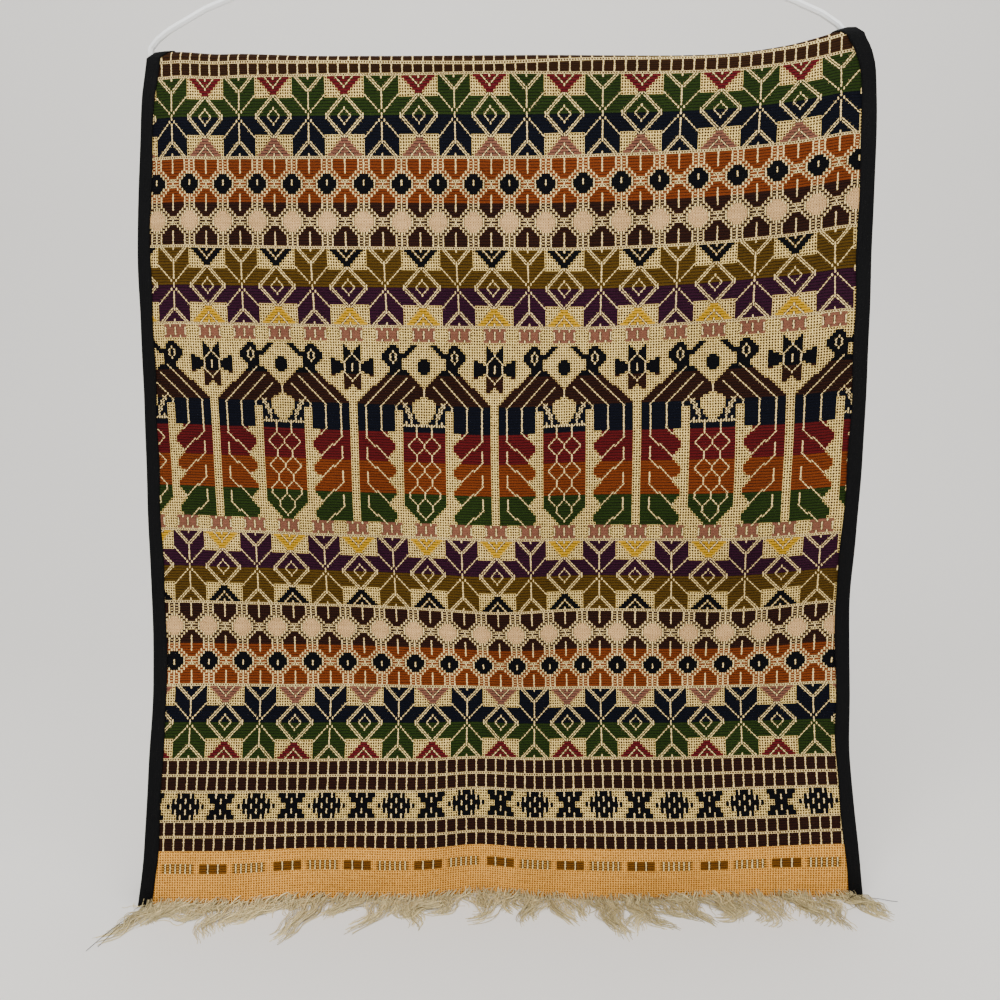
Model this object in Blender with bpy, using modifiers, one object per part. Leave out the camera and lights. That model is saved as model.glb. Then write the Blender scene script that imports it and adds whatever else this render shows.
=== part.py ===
"""Long woven cloth runner folded in half over the bottom bar of a coated wire clothes hanger.

Units are metres, +Z is up, +X is to the right and the front of the cloth faces -Y.
The origin is the point inside the top of the hanger's hook where it bears on a rail.
"""

import math
import random

import bmesh
import bpy
from mathutils import Vector

MM = 0.001
TITLE = "cloth_on_hanger"

# Main sizes, in millimetres
FLOOR = -702.0
CLOTH_THICKNESS = 1.4
FOLD_RADIUS = 4.6
TAPE_THICKNESS = 0.8
TAPE_GAP = 0.45
TAPE_WALL = 2.2
WIRE_DIAMETER = 3.9
HOOK_RADIUS = 20.0
NECK_HEIGHT = -107.0
COIL_TURNS = 3
COIL_PITCH = 4.4

# How finely the sheet is divided
EDGE_COLUMNS = (0.0, 0.0075, 0.0155, 0.045)
INNER_COLUMNS = 26
ARC_STEPS = 3

# Bottom bar of the hanger, centre of the wire: x, y, z
BAR = (
    (-200.0, 26.0, -193.7),
    (-150.0, 16.5, -195.7),
    (-110.0, 9.5, -198.7),
    (-70.0, 3.0, -200.7),
    (0.0, -6.0, -202.9),
    (60.0, -10.5, -203.7),
    (103.0, -13.0, -203.7),
    (133.0, -14.3, -203.4),
    (160.0, -15.6, -202.9),
    (178.0, -17.2, -202.6),
    (184.0, -16.4, -202.7),
    (192.0, -12.5, -202.8),
)

# Centre of the round that the cloth makes over the bar: x, y, z
RIDGE = (
    (-214.0, 27.2, -193.2),
    (-200.0, 26.0, -193.6),
    (-188.0, 23.7, -194.0),
    (-168.0, 19.9, -196.4),
    (-150.0, 16.5, -197.3),
    (-110.0, 9.5, -200.3),
    (-70.0, 3.0, -202.3),
    (0.0, -6.0, -204.5),
    (60.0, -10.5, -205.3),
    (103.0, -13.0, -205.3),
    (133.0, -14.3, -204.0),
    (160.0, -15.6, -200.4),
    (176.0, -17.0, -196.8),
    (192.0, -20.6, -193.0),
    (208.0, -24.2, -191.6),
)

# Outer edges of the bound cloth at the very top of the fold: left, right
TOP_EDGES = (-201.5, 192.5)

# Front half, one row per level:
# drop below the fold, left edge x, right edge x, depth y at left, middle and right,
# share of the bar's rise that the left and the right side keep at this level
FRONT = (
    (0.0, -205.5, 198.5, 22.0, -10.0, -30.0, 1.0, 1.0),
    (8.0, -208.3, 203.5, 21.0, -11.0, -28.5, 0.95, 0.95),
    (20.0, -211.0, 206.0, 20.0, -12.0, -27.0, 0.85, 0.9),
    (50.0, -213.0, 207.5, 18.0, -15.0, -27.0, 0.65, 0.8),
    (100.0, -216.0, 207.5, 17.0, -18.0, -28.0, 0.4, 0.8),
    (150.0, -216.0, 207.0, 14.0, -20.0, -31.0, 0.35, 0.75),
    (210.0, -216.0, 207.0, 13.0, -20.0, -31.0, 0.25, 0.6),
    (270.0, -216.0, 208.0, 12.0, -14.0, -24.0, 0.2, 0.5),
    (315.0, -215.0, 209.0, 8.0, -8.0, -14.0, 0.1, 0.5),
    (365.0, -213.5, 210.0, -2.0, -9.0, -12.0, 0.0, 0.4),
    (410.0, -213.0, 212.0, -12.0, -12.0, -12.0, 0.0, 0.35),
    (465.0, -217.5, 221.0, -20.0, -14.0, -15.0, 0.0, 0.25),
    (497.9, -222.0, 227.0, -22.0, -13.0, -10.0, 0.0, 0.0),
)

# Back half, the same columns
BACK = (
    (0.0, -202.0, 186.0, 30.0, -2.0, -12.0, 1.0, 1.0),
    (5.0, -203.0, 181.5, 30.2, -1.8, -11.6, 0.98, 0.98),
    (13.0, -205.0, 179.5, 30.5, -1.5, -11.0, 0.95, 0.95),
    (30.0, -210.0, 196.0, 31.5, 0.0, -10.0, 0.8, 0.8),
    (60.0, -213.0, 205.0, 33.0, 2.0, -8.0, 0.65, 0.6),
    (150.0, -215.0, 206.0, 35.0, 8.0, -3.0, 0.35, 0.35),
    (270.0, -215.0, 206.0, 30.0, 15.0, 7.0, 0.2, 0.2),
    (400.0, -214.0, 208.0, 18.0, 22.0, 15.0, 0.05, 0.1),
    (497.9, -219.0, 216.0, 9.0, 27.0, 20.0, 0.0, 0.0),
)

# Soft upright folds that grow towards the hem: x, depth, half width, level where each starts
FRONT_FOLDS = (
    (-15.0, 8.0, 25.0, 290.0),
    (-112.0, 3.0, 36.0, 390.0),
    (84.0, -3.0, 45.0, 390.0),
)
BACK_FOLDS = (
    (-90.0, -5.0, 40.0, 250.0),
    (20.0, 6.0, 35.0, 250.0),
    (120.0, -5.0, 40.0, 280.0),
)

# Levels at which the halves are divided, as drops below the fold
FRONT_LEVELS = (5, 13, 26, 42, 60, 82, 104, 128, 152, 180, 210, 240, 270, 294, 318, 342, 366, 390, 412, 432, 450, 467, 483)
BACK_LEVELS = (5, 13, 22, 38, 60, 90, 124, 160, 198, 236, 274, 312, 350, 388, 424, 456, 480)

# Fringe of cut warp ends
LOCKS_FRONT = 46
LOCKS_BACK = 40
STRIP_DEPTH = 2.4
STRIP_HEIGHT = 2.2
LOCK_REACH = 37.0
LOCK_STEPS = 3

# Finish of each piece: red, green, blue, roughness
FINISHES = {
    "cloth": (0.30, 0.17, 0.07, 0.9),
    "binding_left": (0.012, 0.014, 0.014, 0.8),
    "binding_right": (0.012, 0.014, 0.014, 0.8),
    "fringe_front": (0.58, 0.52, 0.38, 0.9),
    "fringe_back": (0.58, 0.52, 0.38, 0.9),
    "hanger": (0.85, 0.86, 0.86, 0.3),
}

ARC_LENGTH = FOLD_RADIUS * math.pi / 2


def read(table, key, column):
    """Value of one column at a key between a table's rows, on a smooth curve through them."""
    last = len(table) - 1
    key = min(max(key, table[0][0]), table[last][0])
    i = 0
    while i < last - 1 and key > table[i + 1][0]:
        i += 1
    x0, x1 = table[i][0], table[i + 1][0]
    y0, y1 = table[i][column], table[i + 1][column]
    chord = (y1 - y0) / (x1 - x0)
    before = chord
    after = chord
    if i > 0:
        before = (y1 - table[i - 1][column]) / (x1 - table[i - 1][0])
    if i < last - 1:
        after = (table[i + 2][column] - y0) / (table[i + 2][0] - x0)
    span = x1 - x0
    t = (key - x0) / span
    a = (1 + 2 * t) * (1 - t) ** 2
    b = t * (1 - t) ** 2 * span
    c = t * t * (3 - 2 * t)
    d = t * t * (t - 1) * span
    return a * y0 + b * before + c * y1 + d * after


def ease(t):
    """Smooth step from 0 to 1."""
    t = min(max(t, 0.0), 1.0)
    return t * t * (3 - 2 * t)


def folds_at(table, x, drop):
    """Depth that the soft upright folds add at one place."""
    depth = 0.0
    for place, deep, half, start in table:
        grown = ease((drop - start) / (FRONT[-1][0] - start))
        depth += deep * grown * math.exp(-((x - place) / half) ** 2)
    return depth


def edge(side, s):
    """Outer edge x of the bound cloth, side 0 for left and 1 for right, s along the cloth."""
    table = FRONT if s >= 0 else BACK
    drop = abs(s) - ARC_LENGTH
    if drop >= 0:
        return read(table, drop, 1 + side)
    top = TOP_EDGES[side]
    turned = abs(s) / ARC_LENGTH
    return top + (table[0][1 + side] - top) * (turned ** 2 if s >= 0 else turned)


def sheet_point(v, s):
    """Middle of the cloth's thickness: v runs 0 to 1 across and s down from the fold's top."""
    left = edge(0, s) + TAPE_WALL
    right = edge(1, s) - TAPE_WALL
    x = left + v * (right - left)
    ridge_y = read(RIDGE, x, 1)
    ridge_z = read(RIDGE, x, 2)
    front = s >= 0
    facing = -1.0 if front else 1.0
    if abs(s) <= ARC_LENGTH:
        angle = abs(s) / FOLD_RADIUS
        y = ridge_y + facing * FOLD_RADIUS * math.sin(angle)
        return Vector((x, y, ridge_z + FOLD_RADIUS * math.cos(angle)))
    table = FRONT if front else BACK
    drop = abs(s) - ARC_LENGTH
    middle_z = read(RIDGE, 0.0, 2)
    keep = read(table, drop, 6) * (1 - v) + read(table, drop, 7) * v
    z = middle_z - drop + (ridge_z - middle_z) * keep
    y_left = read(table, drop, 3)
    y_middle = read(table, drop, 4)
    y_right = read(table, drop, 5)
    swing = (y_right - y_left) / 2
    bow = (y_right + y_left) / 2 - y_middle
    across = 2 * v - 1
    y = y_middle + swing * across + bow * across * across
    y += folds_at(FRONT_FOLDS if front else BACK_FOLDS, x, drop)
    near_fold = 1 - ease(drop / 32)
    y = near_fold * (ridge_y + facing * FOLD_RADIUS) + (1 - near_fold) * y
    return Vector((x, y, max(z, FLOOR)))


def columns():
    """Places across the cloth, closer together under the tapes."""
    inner = EDGE_COLUMNS[-1]
    step = (1 - 2 * inner) / INNER_COLUMNS
    middle = [inner + step * k for k in range(1, INNER_COLUMNS)]
    return list(EDGE_COLUMNS) + middle + [1 - v for v in EDGE_COLUMNS[::-1]]


def stations():
    """Places along the cloth from the back hem over the fold to the front hem."""
    hem = FRONT[-1][0]
    back = [-(ARC_LENGTH + level) for level in (hem,) + BACK_LEVELS[::-1]]
    arc = [ARC_LENGTH * k / ARC_STEPS for k in range(-ARC_STEPS, ARC_STEPS + 1)]
    front = [ARC_LENGTH + level for level in FRONT_LEVELS + (hem,)]
    return back + arc + front


def sheet_normal(v, s):
    """Outward unit normal of the cloth at one place."""
    step = 0.002
    v0 = min(max(v, step), 1 - step)
    across = sheet_point(v0 + step, s) - sheet_point(v0 - step, s)
    limit = ARC_LENGTH + FRONT[-1][0] - 0.5
    s0 = min(max(s, -limit), limit)
    along = sheet_point(v, s0 + 0.5) - sheet_point(v, s0 - 0.5)
    return along.cross(across).normalized()


def finish(name):
    """Material of one piece."""
    red, green, blue, rough = FINISHES[name]
    material = bpy.data.materials.new(name)
    material.use_nodes = True
    shader = material.node_tree.nodes["Principled BSDF"]
    shader.inputs["Base Color"].default_value = (red, green, blue, 1.0)
    shader.inputs["Roughness"].default_value = rough
    shader.inputs["Metallic"].default_value = 0.0
    return material


def add_object(name, mesh, collection):
    """Object with its own finish in the part's collection."""
    item = bpy.data.objects.new(name, mesh)
    mesh.materials.append(finish(name))
    collection.objects.link(item)
    for face in mesh.polygons:
        face.use_smooth = True
    return item


def thicken(item, thickness):
    """Even thickness given to an open sheet, half to each side."""
    solid = item.modifiers.new("thickness", "SOLIDIFY")
    solid.thickness = thickness * MM
    solid.offset = 0.0
    solid.use_even_offset = True
    return solid


def apply_modifiers(item):
    """Mesh of an object with its modifiers made real."""
    graph = bpy.context.evaluated_depsgraph_get()
    mesh = bpy.data.meshes.new_from_object(item.evaluated_get(graph))
    item.modifiers.clear()
    item.data = mesh
    return mesh


def grid_mesh(name, across, along):
    """Flat grid from the grid tool, its vertices numbered across first, then along."""
    build = bmesh.new()
    bmesh.ops.create_grid(build, x_segments=across, y_segments=along, size=1.0)
    order = sorted(build.verts, key=lambda vert: (round(vert.co.y, 5), round(vert.co.x, 5)))
    mesh = bpy.data.meshes.new(name)
    return build, order, mesh


def level_hem(mesh):
    """Both faces of the sheet brought down to stand square on the floor."""
    for vert in mesh.vertices:
        if vert.co.z < (FLOOR + 1.6) * MM:
            vert.co.z = FLOOR * MM


def make_cloth(collection):
    """One sheet: front half, fold over the bar, back half."""
    rows = stations()
    places = columns()
    width = len(places)
    build, order, mesh = grid_mesh("cloth", width - 1, len(rows) - 1)
    for number, vert in enumerate(order):
        vert.co = sheet_point(places[number % width], rows[number // width]) * MM
    bmesh.ops.recalc_face_normals(build, faces=build.faces)
    build.to_mesh(mesh)
    build.free()
    cloth = add_object("cloth", mesh, collection)
    thicken(cloth, CLOTH_THICKNESS)
    level_hem(apply_modifiers(cloth))
    return cloth


def tape_section():
    """Middle line of the folded tape: place in across the cloth, distance out, height off it."""
    lift = CLOTH_THICKNESS / 2 + TAPE_GAP + TAPE_THICKNESS / 2
    spine = TAPE_WALL - TAPE_THICKNESS / 2
    return (
        (EDGE_COLUMNS[2], 0.0, lift),
        (EDGE_COLUMNS[1], 0.0, lift),
        (0.0, spine - 0.5, lift),
        (0.0, spine, lift * 0.5),
        (0.0, spine, -lift * 0.5),
        (0.0, spine - 0.5, -lift),
        (EDGE_COLUMNS[1], 0.0, -lift),
        (EDGE_COLUMNS[2], 0.0, -lift),
    )


def make_binding(name, side, collection):
    """Tape folded round one long edge, from hem to hem over the fold."""
    rows = stations()
    section = tape_section()
    build, order, mesh = grid_mesh(name, len(section) - 1, len(rows) - 1)
    for number, vert in enumerate(order):
        inside, outward, height = section[number % len(section)]
        s = rows[number // len(section)]
        v = 1 - inside if side else inside
        near = sheet_point(v, s)
        out = (near - sheet_point(v + (0.004 - 0.008 * side), s)).normalized()
        normal = sheet_normal(v, s)
        normal = (normal - out * normal.dot(out)).normalized()
        place = near + out * outward + normal * height
        if place.z < FLOOR + 0.9:
            place.z = FLOOR + 0.9
        vert.co = place * MM
    bmesh.ops.recalc_face_normals(build, faces=build.faces)
    build.to_mesh(mesh)
    build.free()
    tape = add_object(name, mesh, collection)
    thicken(tape, TAPE_THICKNESS)
    apply_modifiers(tape)
    return tape


def strip_places(s, count, margin):
    """Hem line divided into locks and gaps, two stations for each lock."""
    places = []
    for k in range(count):
        for part in (0.0, 0.62):
            v = margin + (1 - 2 * margin) * (k + part) / (count - 0.38)
            places.append(v)
    return places


def make_fringe(name, s, count, seed, collection):
    """Narrow strip beside the hem with a lock of warp ends drawn out of every other face."""
    rng = random.Random(seed)
    facing = -1.0 if s > 0 else 1.0
    places = strip_places(s, count, 0.024)
    clear = CLOTH_THICKNESS / 2 + TAPE_GAP + 0.25
    build, order, mesh = grid_mesh(name, len(places) - 1, 1)
    width = len(places)
    for number, vert in enumerate(order):
        hem = sheet_point(places[number % width], s)
        out = clear + (STRIP_DEPTH if number >= width else 0.0)
        vert.co = Vector((hem.x, hem.y + facing * out, FLOOR)) * MM
    made = bmesh.ops.extrude_face_region(build, geom=list(build.faces))
    for item in made["geom"]:
        if isinstance(item, bmesh.types.BMVert):
            item.co.z += STRIP_HEIGHT * MM
    bmesh.ops.recalc_face_normals(build, faces=build.faces)
    roots = []
    for face in build.faces:
        centre = face.calc_center_median()
        if face.normal.y * facing > 0.6:
            roots.append((centre.x, face))
    roots.sort(key=lambda pair: pair[0])
    locks = [face for _, face in roots[::2]]
    for face in locks:
        draw_lock(build, face, facing, rng)
    bmesh.ops.recalc_face_normals(build, faces=build.faces)
    build.to_mesh(mesh)
    build.free()
    return add_object(name, mesh, collection)


def draw_lock(build, face, facing, rng):
    """One lock drawn out of its root face in steps, level on the floor and tapering."""
    x = face.calc_center_median().x / MM
    reach = LOCK_REACH * (1.0 + 0.16 * math.sin(x / 17.0) + rng.uniform(-0.1, 0.1))
    spread = 0.055 * x + 5.0 * math.sin(x / 31.0)
    sway = 2.2 * math.sin(x / 23.0 + 1.0)
    heights = (1.9, 1.6, 1.2)
    widths = (0.95, 0.8, 0.45)
    start = 0.0
    root_width = max(vert.co.x for vert in face.verts) - min(vert.co.x for vert in face.verts)
    for k in range(LOCK_STEPS):
        made = bmesh.ops.extrude_discrete_faces(build, faces=[face])
        face = made["faces"][0]
        t = (k + 1) / LOCK_STEPS
        shift = spread * t ** 1.4 + sway * math.sin(math.pi * t)
        run = reach / LOCK_STEPS
        centre = face.calc_center_median().x
        target = root_width * widths[k]
        present = max(vert.co.x for vert in face.verts) - min(vert.co.x for vert in face.verts)
        for vert in face.verts:
            vert.co.x = centre + (vert.co.x - centre) * target / present + (shift - start) * MM
            vert.co.y += facing * run * MM
            if vert.co.z > (FLOOR + 0.5) * MM:
                vert.co.z = (FLOOR + heights[k]) * MM
        start = shift


def arc(centre, radius, start, stop, steps):
    """Points of an arc in an upright plane facing the front, angles in degrees from +X."""
    points = []
    for k in range(steps + 1):
        angle = math.radians(start + (stop - start) * k / steps)
        x = centre[0] + radius * math.cos(angle)
        z = centre[2] + radius * math.sin(angle)
        points.append((x, centre[1], z))
    return points


def hanger_line():
    """Centre line of the one wire: coil, right shoulder, bar, left shoulder, neck, hook."""
    line = []
    coil_radius = WIRE_DIAMETER + 0.45
    coil_top = NECK_HEIGHT + 5.0 + COIL_TURNS * COIL_PITCH
    turn_steps = 10
    for k in range(COIL_TURNS * turn_steps + 1):
        angle = math.radians(-90 + 360.0 * (k - COIL_TURNS * turn_steps) / turn_steps)
        z = coil_top - COIL_PITCH * k / turn_steps
        line.append((coil_radius * math.cos(angle), coil_radius * math.sin(angle), z))
    line.append((14.0, -coil_radius, NECK_HEIGHT + 2.5))
    line.append((60.0, -6.0, -125.5))
    line.append((120.0, -9.0, -151.5))
    line.append((164.0, -11.0, -170.0))
    line.append((179.5, -11.5, -176.8))
    line.append((188.5, -12.0, -182.8))
    line.extend(arc((191.5, -12.0, -195.8), 7.0, 62.0, -90.0, 7))
    for x, y, z in BAR[-2::-1]:
        line.append((x, y, z))
    line.extend(arc((-201.5, 27.0, -186.7), 7.0, -115.0, -205.0, 5))
    line.append((-203.5, 26.0, -179.3))
    line.append((-196.0, 25.0, -174.3))
    line.append((-187.0, 24.0, -169.8))
    line.append((-173.5, 23.0, -162.9))
    line.append((-157.0, 21.0, -157.3))
    line.append((-80.0, 10.0, -132.5))
    line.append((-14.0, 1.5, -111.0))
    line.append((-4.0, 0.0, -105.5))
    line.append((0.0, 0.0, -99.0))
    line.append((0.0, 0.0, -60.0))
    line.append((2.5, 0.0, -48.0))
    line.append((8.0, 0.0, -39.5))
    centre = (0.0, 0.0, -HOOK_RADIUS + WIRE_DIAMETER / 2)
    line.extend(arc(centre, HOOK_RADIUS, -42.0, 205.0, 15))
    return line


def make_hanger(collection):
    """Coated wire bent into a hanger."""
    curve = bpy.data.curves.new("hanger", "CURVE")
    curve.dimensions = "3D"
    curve.bevel_depth = WIRE_DIAMETER / 2 * MM
    curve.bevel_resolution = 2
    curve.use_fill_caps = True
    line = hanger_line()
    spline = curve.splines.new("POLY")
    spline.points.add(len(line) - 1)
    for point, place in zip(spline.points, line):
        point.co = (place[0] * MM, place[1] * MM, place[2] * MM, 1.0)
    wire = bpy.data.objects.new("hanger_wire", curve)
    collection.objects.link(wire)
    graph = bpy.context.evaluated_depsgraph_get()
    mesh = bpy.data.meshes.new_from_object(wire.evaluated_get(graph))
    bpy.data.objects.remove(wire, do_unlink=True)
    build = bmesh.new()
    build.from_mesh(mesh)
    bmesh.ops.remove_doubles(build, verts=build.verts, dist=0.00001)
    bmesh.ops.recalc_face_normals(build, faces=build.faces)
    build.to_mesh(mesh)
    build.free()
    mesh.name = "hanger"
    return add_object("hanger", mesh, collection)


def main():
    """Build every piece."""
    for item in list(bpy.data.objects):
        bpy.data.objects.remove(item, do_unlink=True)
    collection = bpy.data.collections.new(TITLE)
    bpy.context.scene.collection.children.link(collection)
    make_cloth(collection)
    make_binding("binding_left", 0, collection)
    make_binding("binding_right", 1, collection)
    hem = ARC_LENGTH + FRONT[-1][0]
    make_fringe("fringe_front", hem, LOCKS_FRONT, 11, collection)
    make_fringe("fringe_back", -hem, LOCKS_BACK, 23, collection)
    make_hanger(collection)


main()
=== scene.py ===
"""Woven wall hanging folded over the bottom bar of a coated wire clothes hanger.

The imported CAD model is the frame. Every class here builds one sub-assembly around it:
the brocaded cloth, its edge bindings, its warp fringe and the hanger, then the studio.
Lengths in the tables are millimetres in the frame's own axes, front towards -Y.
"""

import logging
import math
import random
from dataclasses import dataclass, field
from enum import Enum

import bmesh
import bpy
import numpy as np
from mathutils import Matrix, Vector


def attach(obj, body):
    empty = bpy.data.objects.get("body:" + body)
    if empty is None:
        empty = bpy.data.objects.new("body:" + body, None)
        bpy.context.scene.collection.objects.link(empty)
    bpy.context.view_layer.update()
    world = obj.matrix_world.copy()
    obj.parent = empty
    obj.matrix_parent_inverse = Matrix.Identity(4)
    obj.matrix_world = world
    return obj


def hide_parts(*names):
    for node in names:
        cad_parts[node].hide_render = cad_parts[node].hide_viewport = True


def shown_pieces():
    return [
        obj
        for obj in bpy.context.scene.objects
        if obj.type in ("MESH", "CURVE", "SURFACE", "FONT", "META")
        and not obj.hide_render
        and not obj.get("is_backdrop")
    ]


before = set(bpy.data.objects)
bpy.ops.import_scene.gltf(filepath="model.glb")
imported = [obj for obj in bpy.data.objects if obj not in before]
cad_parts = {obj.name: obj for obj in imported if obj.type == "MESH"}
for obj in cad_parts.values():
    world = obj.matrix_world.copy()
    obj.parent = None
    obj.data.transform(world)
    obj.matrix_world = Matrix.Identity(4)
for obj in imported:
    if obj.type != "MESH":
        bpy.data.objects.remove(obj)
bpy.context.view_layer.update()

LOG = logging.getLogger("wall_hanging")
MM = 0.001
BODY = "root"

# Sizes of the hanging cloth, in millimetres
FLOOR = -702.0
CLOTH_THICKNESS = 1.4
FOLD_RADIUS = 4.6
TAPE_THICKNESS = 0.7
TAPE_GAP = 0.2
TAPE_WALL = 2.2
CORNER = 5.0
ARC_LENGTH = FOLD_RADIUS * math.pi / 2
HEM_DROP = 499.6

# Centre of the round that the cloth makes over the bar: x, y, z
RIDGE = (
    (-214.0, 27.2, -191.8),
    (-200.0, 26.0, -192.0),
    (-188.0, 23.7, -192.3),
    (-168.0, 19.9, -194.7),
    (-150.0, 16.5, -195.6),
    (-110.0, 9.5, -198.6),
    (-70.0, 3.0, -200.6),
    (0.0, -6.0, -202.8),
    (60.0, -10.5, -204.2),
    (103.0, -13.0, -205.0),
    (133.0, -14.3, -204.0),
    (160.0, -15.6, -200.4),
    (176.0, -17.0, -196.8),
    (192.0, -20.6, -193.0),
    (208.0, -24.2, -191.6),
)

# Outer edges of the bound cloth at the very top of the fold: left, right
TOP_EDGES = (-201.5, 192.5)

# Front half, one row per level: drop below the fold, left edge x, right edge x,
# depth y at left, middle and right, share of the bar's rise kept at left and at right
FRONT = (
    (0.0, -209.5, 198.5, 22.0, -10.0, -30.0, 1.0, 1.0),
    (8.0, -211.0, 202.5, 21.0, -11.0, -28.5, 0.95, 0.95),
    (20.0, -213.0, 205.5, 20.0, -12.0, -27.0, 0.85, 0.9),
    (50.0, -215.0, 207.0, 18.0, -15.0, -27.0, 0.65, 0.8),
    (100.0, -218.0, 207.3, 17.0, -18.0, -28.0, 0.4, 0.8),
    (150.0, -217.2, 207.5, 14.0, -20.0, -31.0, 0.35, 0.75),
    (210.0, -217.4, 207.2, 13.0, -20.0, -31.0, 0.25, 0.6),
    (270.0, -217.6, 208.0, 12.0, -14.0, -24.0, 0.2, 0.5),
    (315.0, -216.2, 209.8, 8.0, -8.0, -14.0, 0.1, 0.5),
    (365.0, -214.6, 212.6, -2.0, -9.0, -12.0, 0.0, 0.4),
    (410.0, -215.8, 214.6, -12.0, -12.0, -12.0, 0.0, 0.35),
    (465.0, -218.8, 221.6, -20.0, -14.0, -15.0, 0.0, 0.25),
    (HEM_DROP, -223.6, 228.2, -22.0, -13.0, -10.0, 0.0, 0.0),
)

# Back half, the same columns
BACK = (
    (0.0, -202.0, 186.0, 30.0, -2.0, -12.0, 1.0, 1.0),
    (5.0, -203.0, 181.5, 30.2, -1.8, -11.6, 0.98, 0.98),
    (13.0, -205.0, 179.5, 30.5, -1.5, -11.0, 0.95, 0.95),
    (30.0, -210.0, 196.0, 31.5, 0.0, -10.0, 0.8, 0.8),
    (60.0, -213.0, 205.0, 33.0, 2.0, -8.0, 0.65, 0.6),
    (150.0, -215.0, 206.0, 35.0, 8.0, -3.0, 0.35, 0.35),
    (270.0, -215.0, 206.0, 30.0, 15.0, 7.0, 0.2, 0.2),
    (400.0, -214.0, 208.0, 18.0, 22.0, 15.0, 0.05, 0.1),
    (HEM_DROP, -219.0, 216.0, 9.0, 27.0, 20.0, 0.0, 0.0),
)

# Soft upright folds that grow towards the hem: x, depth, half width, level where each starts
FRONT_FOLDS = (
    (-15.0, 8.0, 25.0, 290.0),
    (-112.0, 3.0, 36.0, 390.0),
    (84.0, -3.0, 45.0, 390.0),
)
BACK_FOLDS = (
    (-90.0, -5.0, 40.0, 250.0),
    (20.0, 6.0, 35.0, 250.0),
    (120.0, -5.0, 40.0, 280.0),
)

# Shallow waves all over the cloth: length, height, turn from level in radians, offset
RIPPLES = (
    (118.0, 0.5, 0.25, 0.4),
    (71.0, 0.35, -0.35, 2.1),
    (43.0, 0.2, 1.1, 4.0),
    (160.0, 0.6, 1.45, 1.2),
)

# Warp threads whose courses are given, counted in columns from the first star's middle
THREADS = (0.0, 65.0, 97.0, 128.0, 165.0, 221.0, 252.0)

# Weft lines: row, and distance down the cloth from the fold's top at each of those threads.
# The cloth hangs a little askew on the bar, so the lines cross the fold at a slant.
WEFT_COURSES = (
    (-17.5, -13.6, -17.3, -18.3, -19.2, -18.6, -18.6, -16.4),
    (-5.5, 8.8, 6.6, 7.0, 7.2, 5.2, 4.2, 5.6),
    (0.5, 17.1, 13.4, 13.0, 12.5, 12.7, 12.1, 14.3),
    (27.5, 60.9, 59.5, 59.6, 59.7, 58.8, 55.6, 56.9),
    (58.5, 109.6, 110.0, 110.2, 110.3, 109.9, 105.6, 106.7),
    (85.5, 154.4, 154.4, 154.4, 154.4, 154.0, 149.5, 152.0),
    (124.0, 213.7, 214.6, 215.2, 215.8, 212.4, 209.5, 211.6),
    (163.5, 277.8, 277.8, 278.1, 278.4, 276.6, 275.9, 277.2),
    (190.5, 322.0, 321.8, 323.2, 324.6, 321.1, 321.1, 321.1),
    (221.5, 371.7, 370.7, 371.0, 371.4, 370.1, 368.7, 370.3),
    (248.5, 415.8, 416.1, 415.8, 415.5, 414.1, 413.6, 415.6),
    (283.0, 471.7, 472.2, 472.6, 473.0, 471.7, 472.4, 471.7),
    (305.0, 506.8, 506.8, 506.8, 506.8, 506.8, 506.8, 506.8),
)

# Warp threads: row, and x of each thread there
WARP_COURSES = (
    (-17.5, -194.2, -97.6, -48.2, -3.5, 53.2, 141.0, 187.4),
    (0.5, -194.2, -97.4, -47.9, -3.1, 52.9, 140.3, 187.0),
    (27.5, -193.6, -96.7, -47.0, -2.0, 52.5, 138.0, 187.0),
    (58.5, -194.6, -96.4, -46.8, -1.9, 52.7, 138.1, 186.4),
    (85.5, -194.8, -94.4, -45.5, -0.1, 52.4, 137.3, 187.5),
    (124.0, -193.0, -93.4, -45.6, -0.2, 53.0, 137.9, 186.1),
    (163.5, -191.6, -92.7, -45.4, 0.8, 53.9, 139.1, 187.5),
    (190.5, -191.4, -91.6, -44.2, 1.8, 55.5, 141.6, 189.8),
    (221.5, -190.8, -90.2, -42.7, 3.6, 56.8, 141.6, 190.2),
    (248.5, -191.4, -91.6, -43.5, 3.4, 58.1, 144.1, 193.3),
    (283.0, -194.6, -94.4, -44.6, 3.6, 60.5, 148.4, 198.7),
    (305.0, -196.5, -95.5, -45.5, 3.0, 61.0, 150.2, 201.3),
)
FIRST_COLUMN = -16
LAST_COLUMN = 271
FIRST_ROW = -18
HEM_ROW = 305
# Height of a weft line against a plain row, and columns from one hem block to the next
LINE_HEIGHT = 0.9
HEM_REPEAT = 28.3
# Columns that the given threads' courses run on past the outer two
COURSE_REACH = 30
# Distance below the fold over which the cloth leaves the bar's line for its own
FOLD_EASE = 32.0


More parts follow.
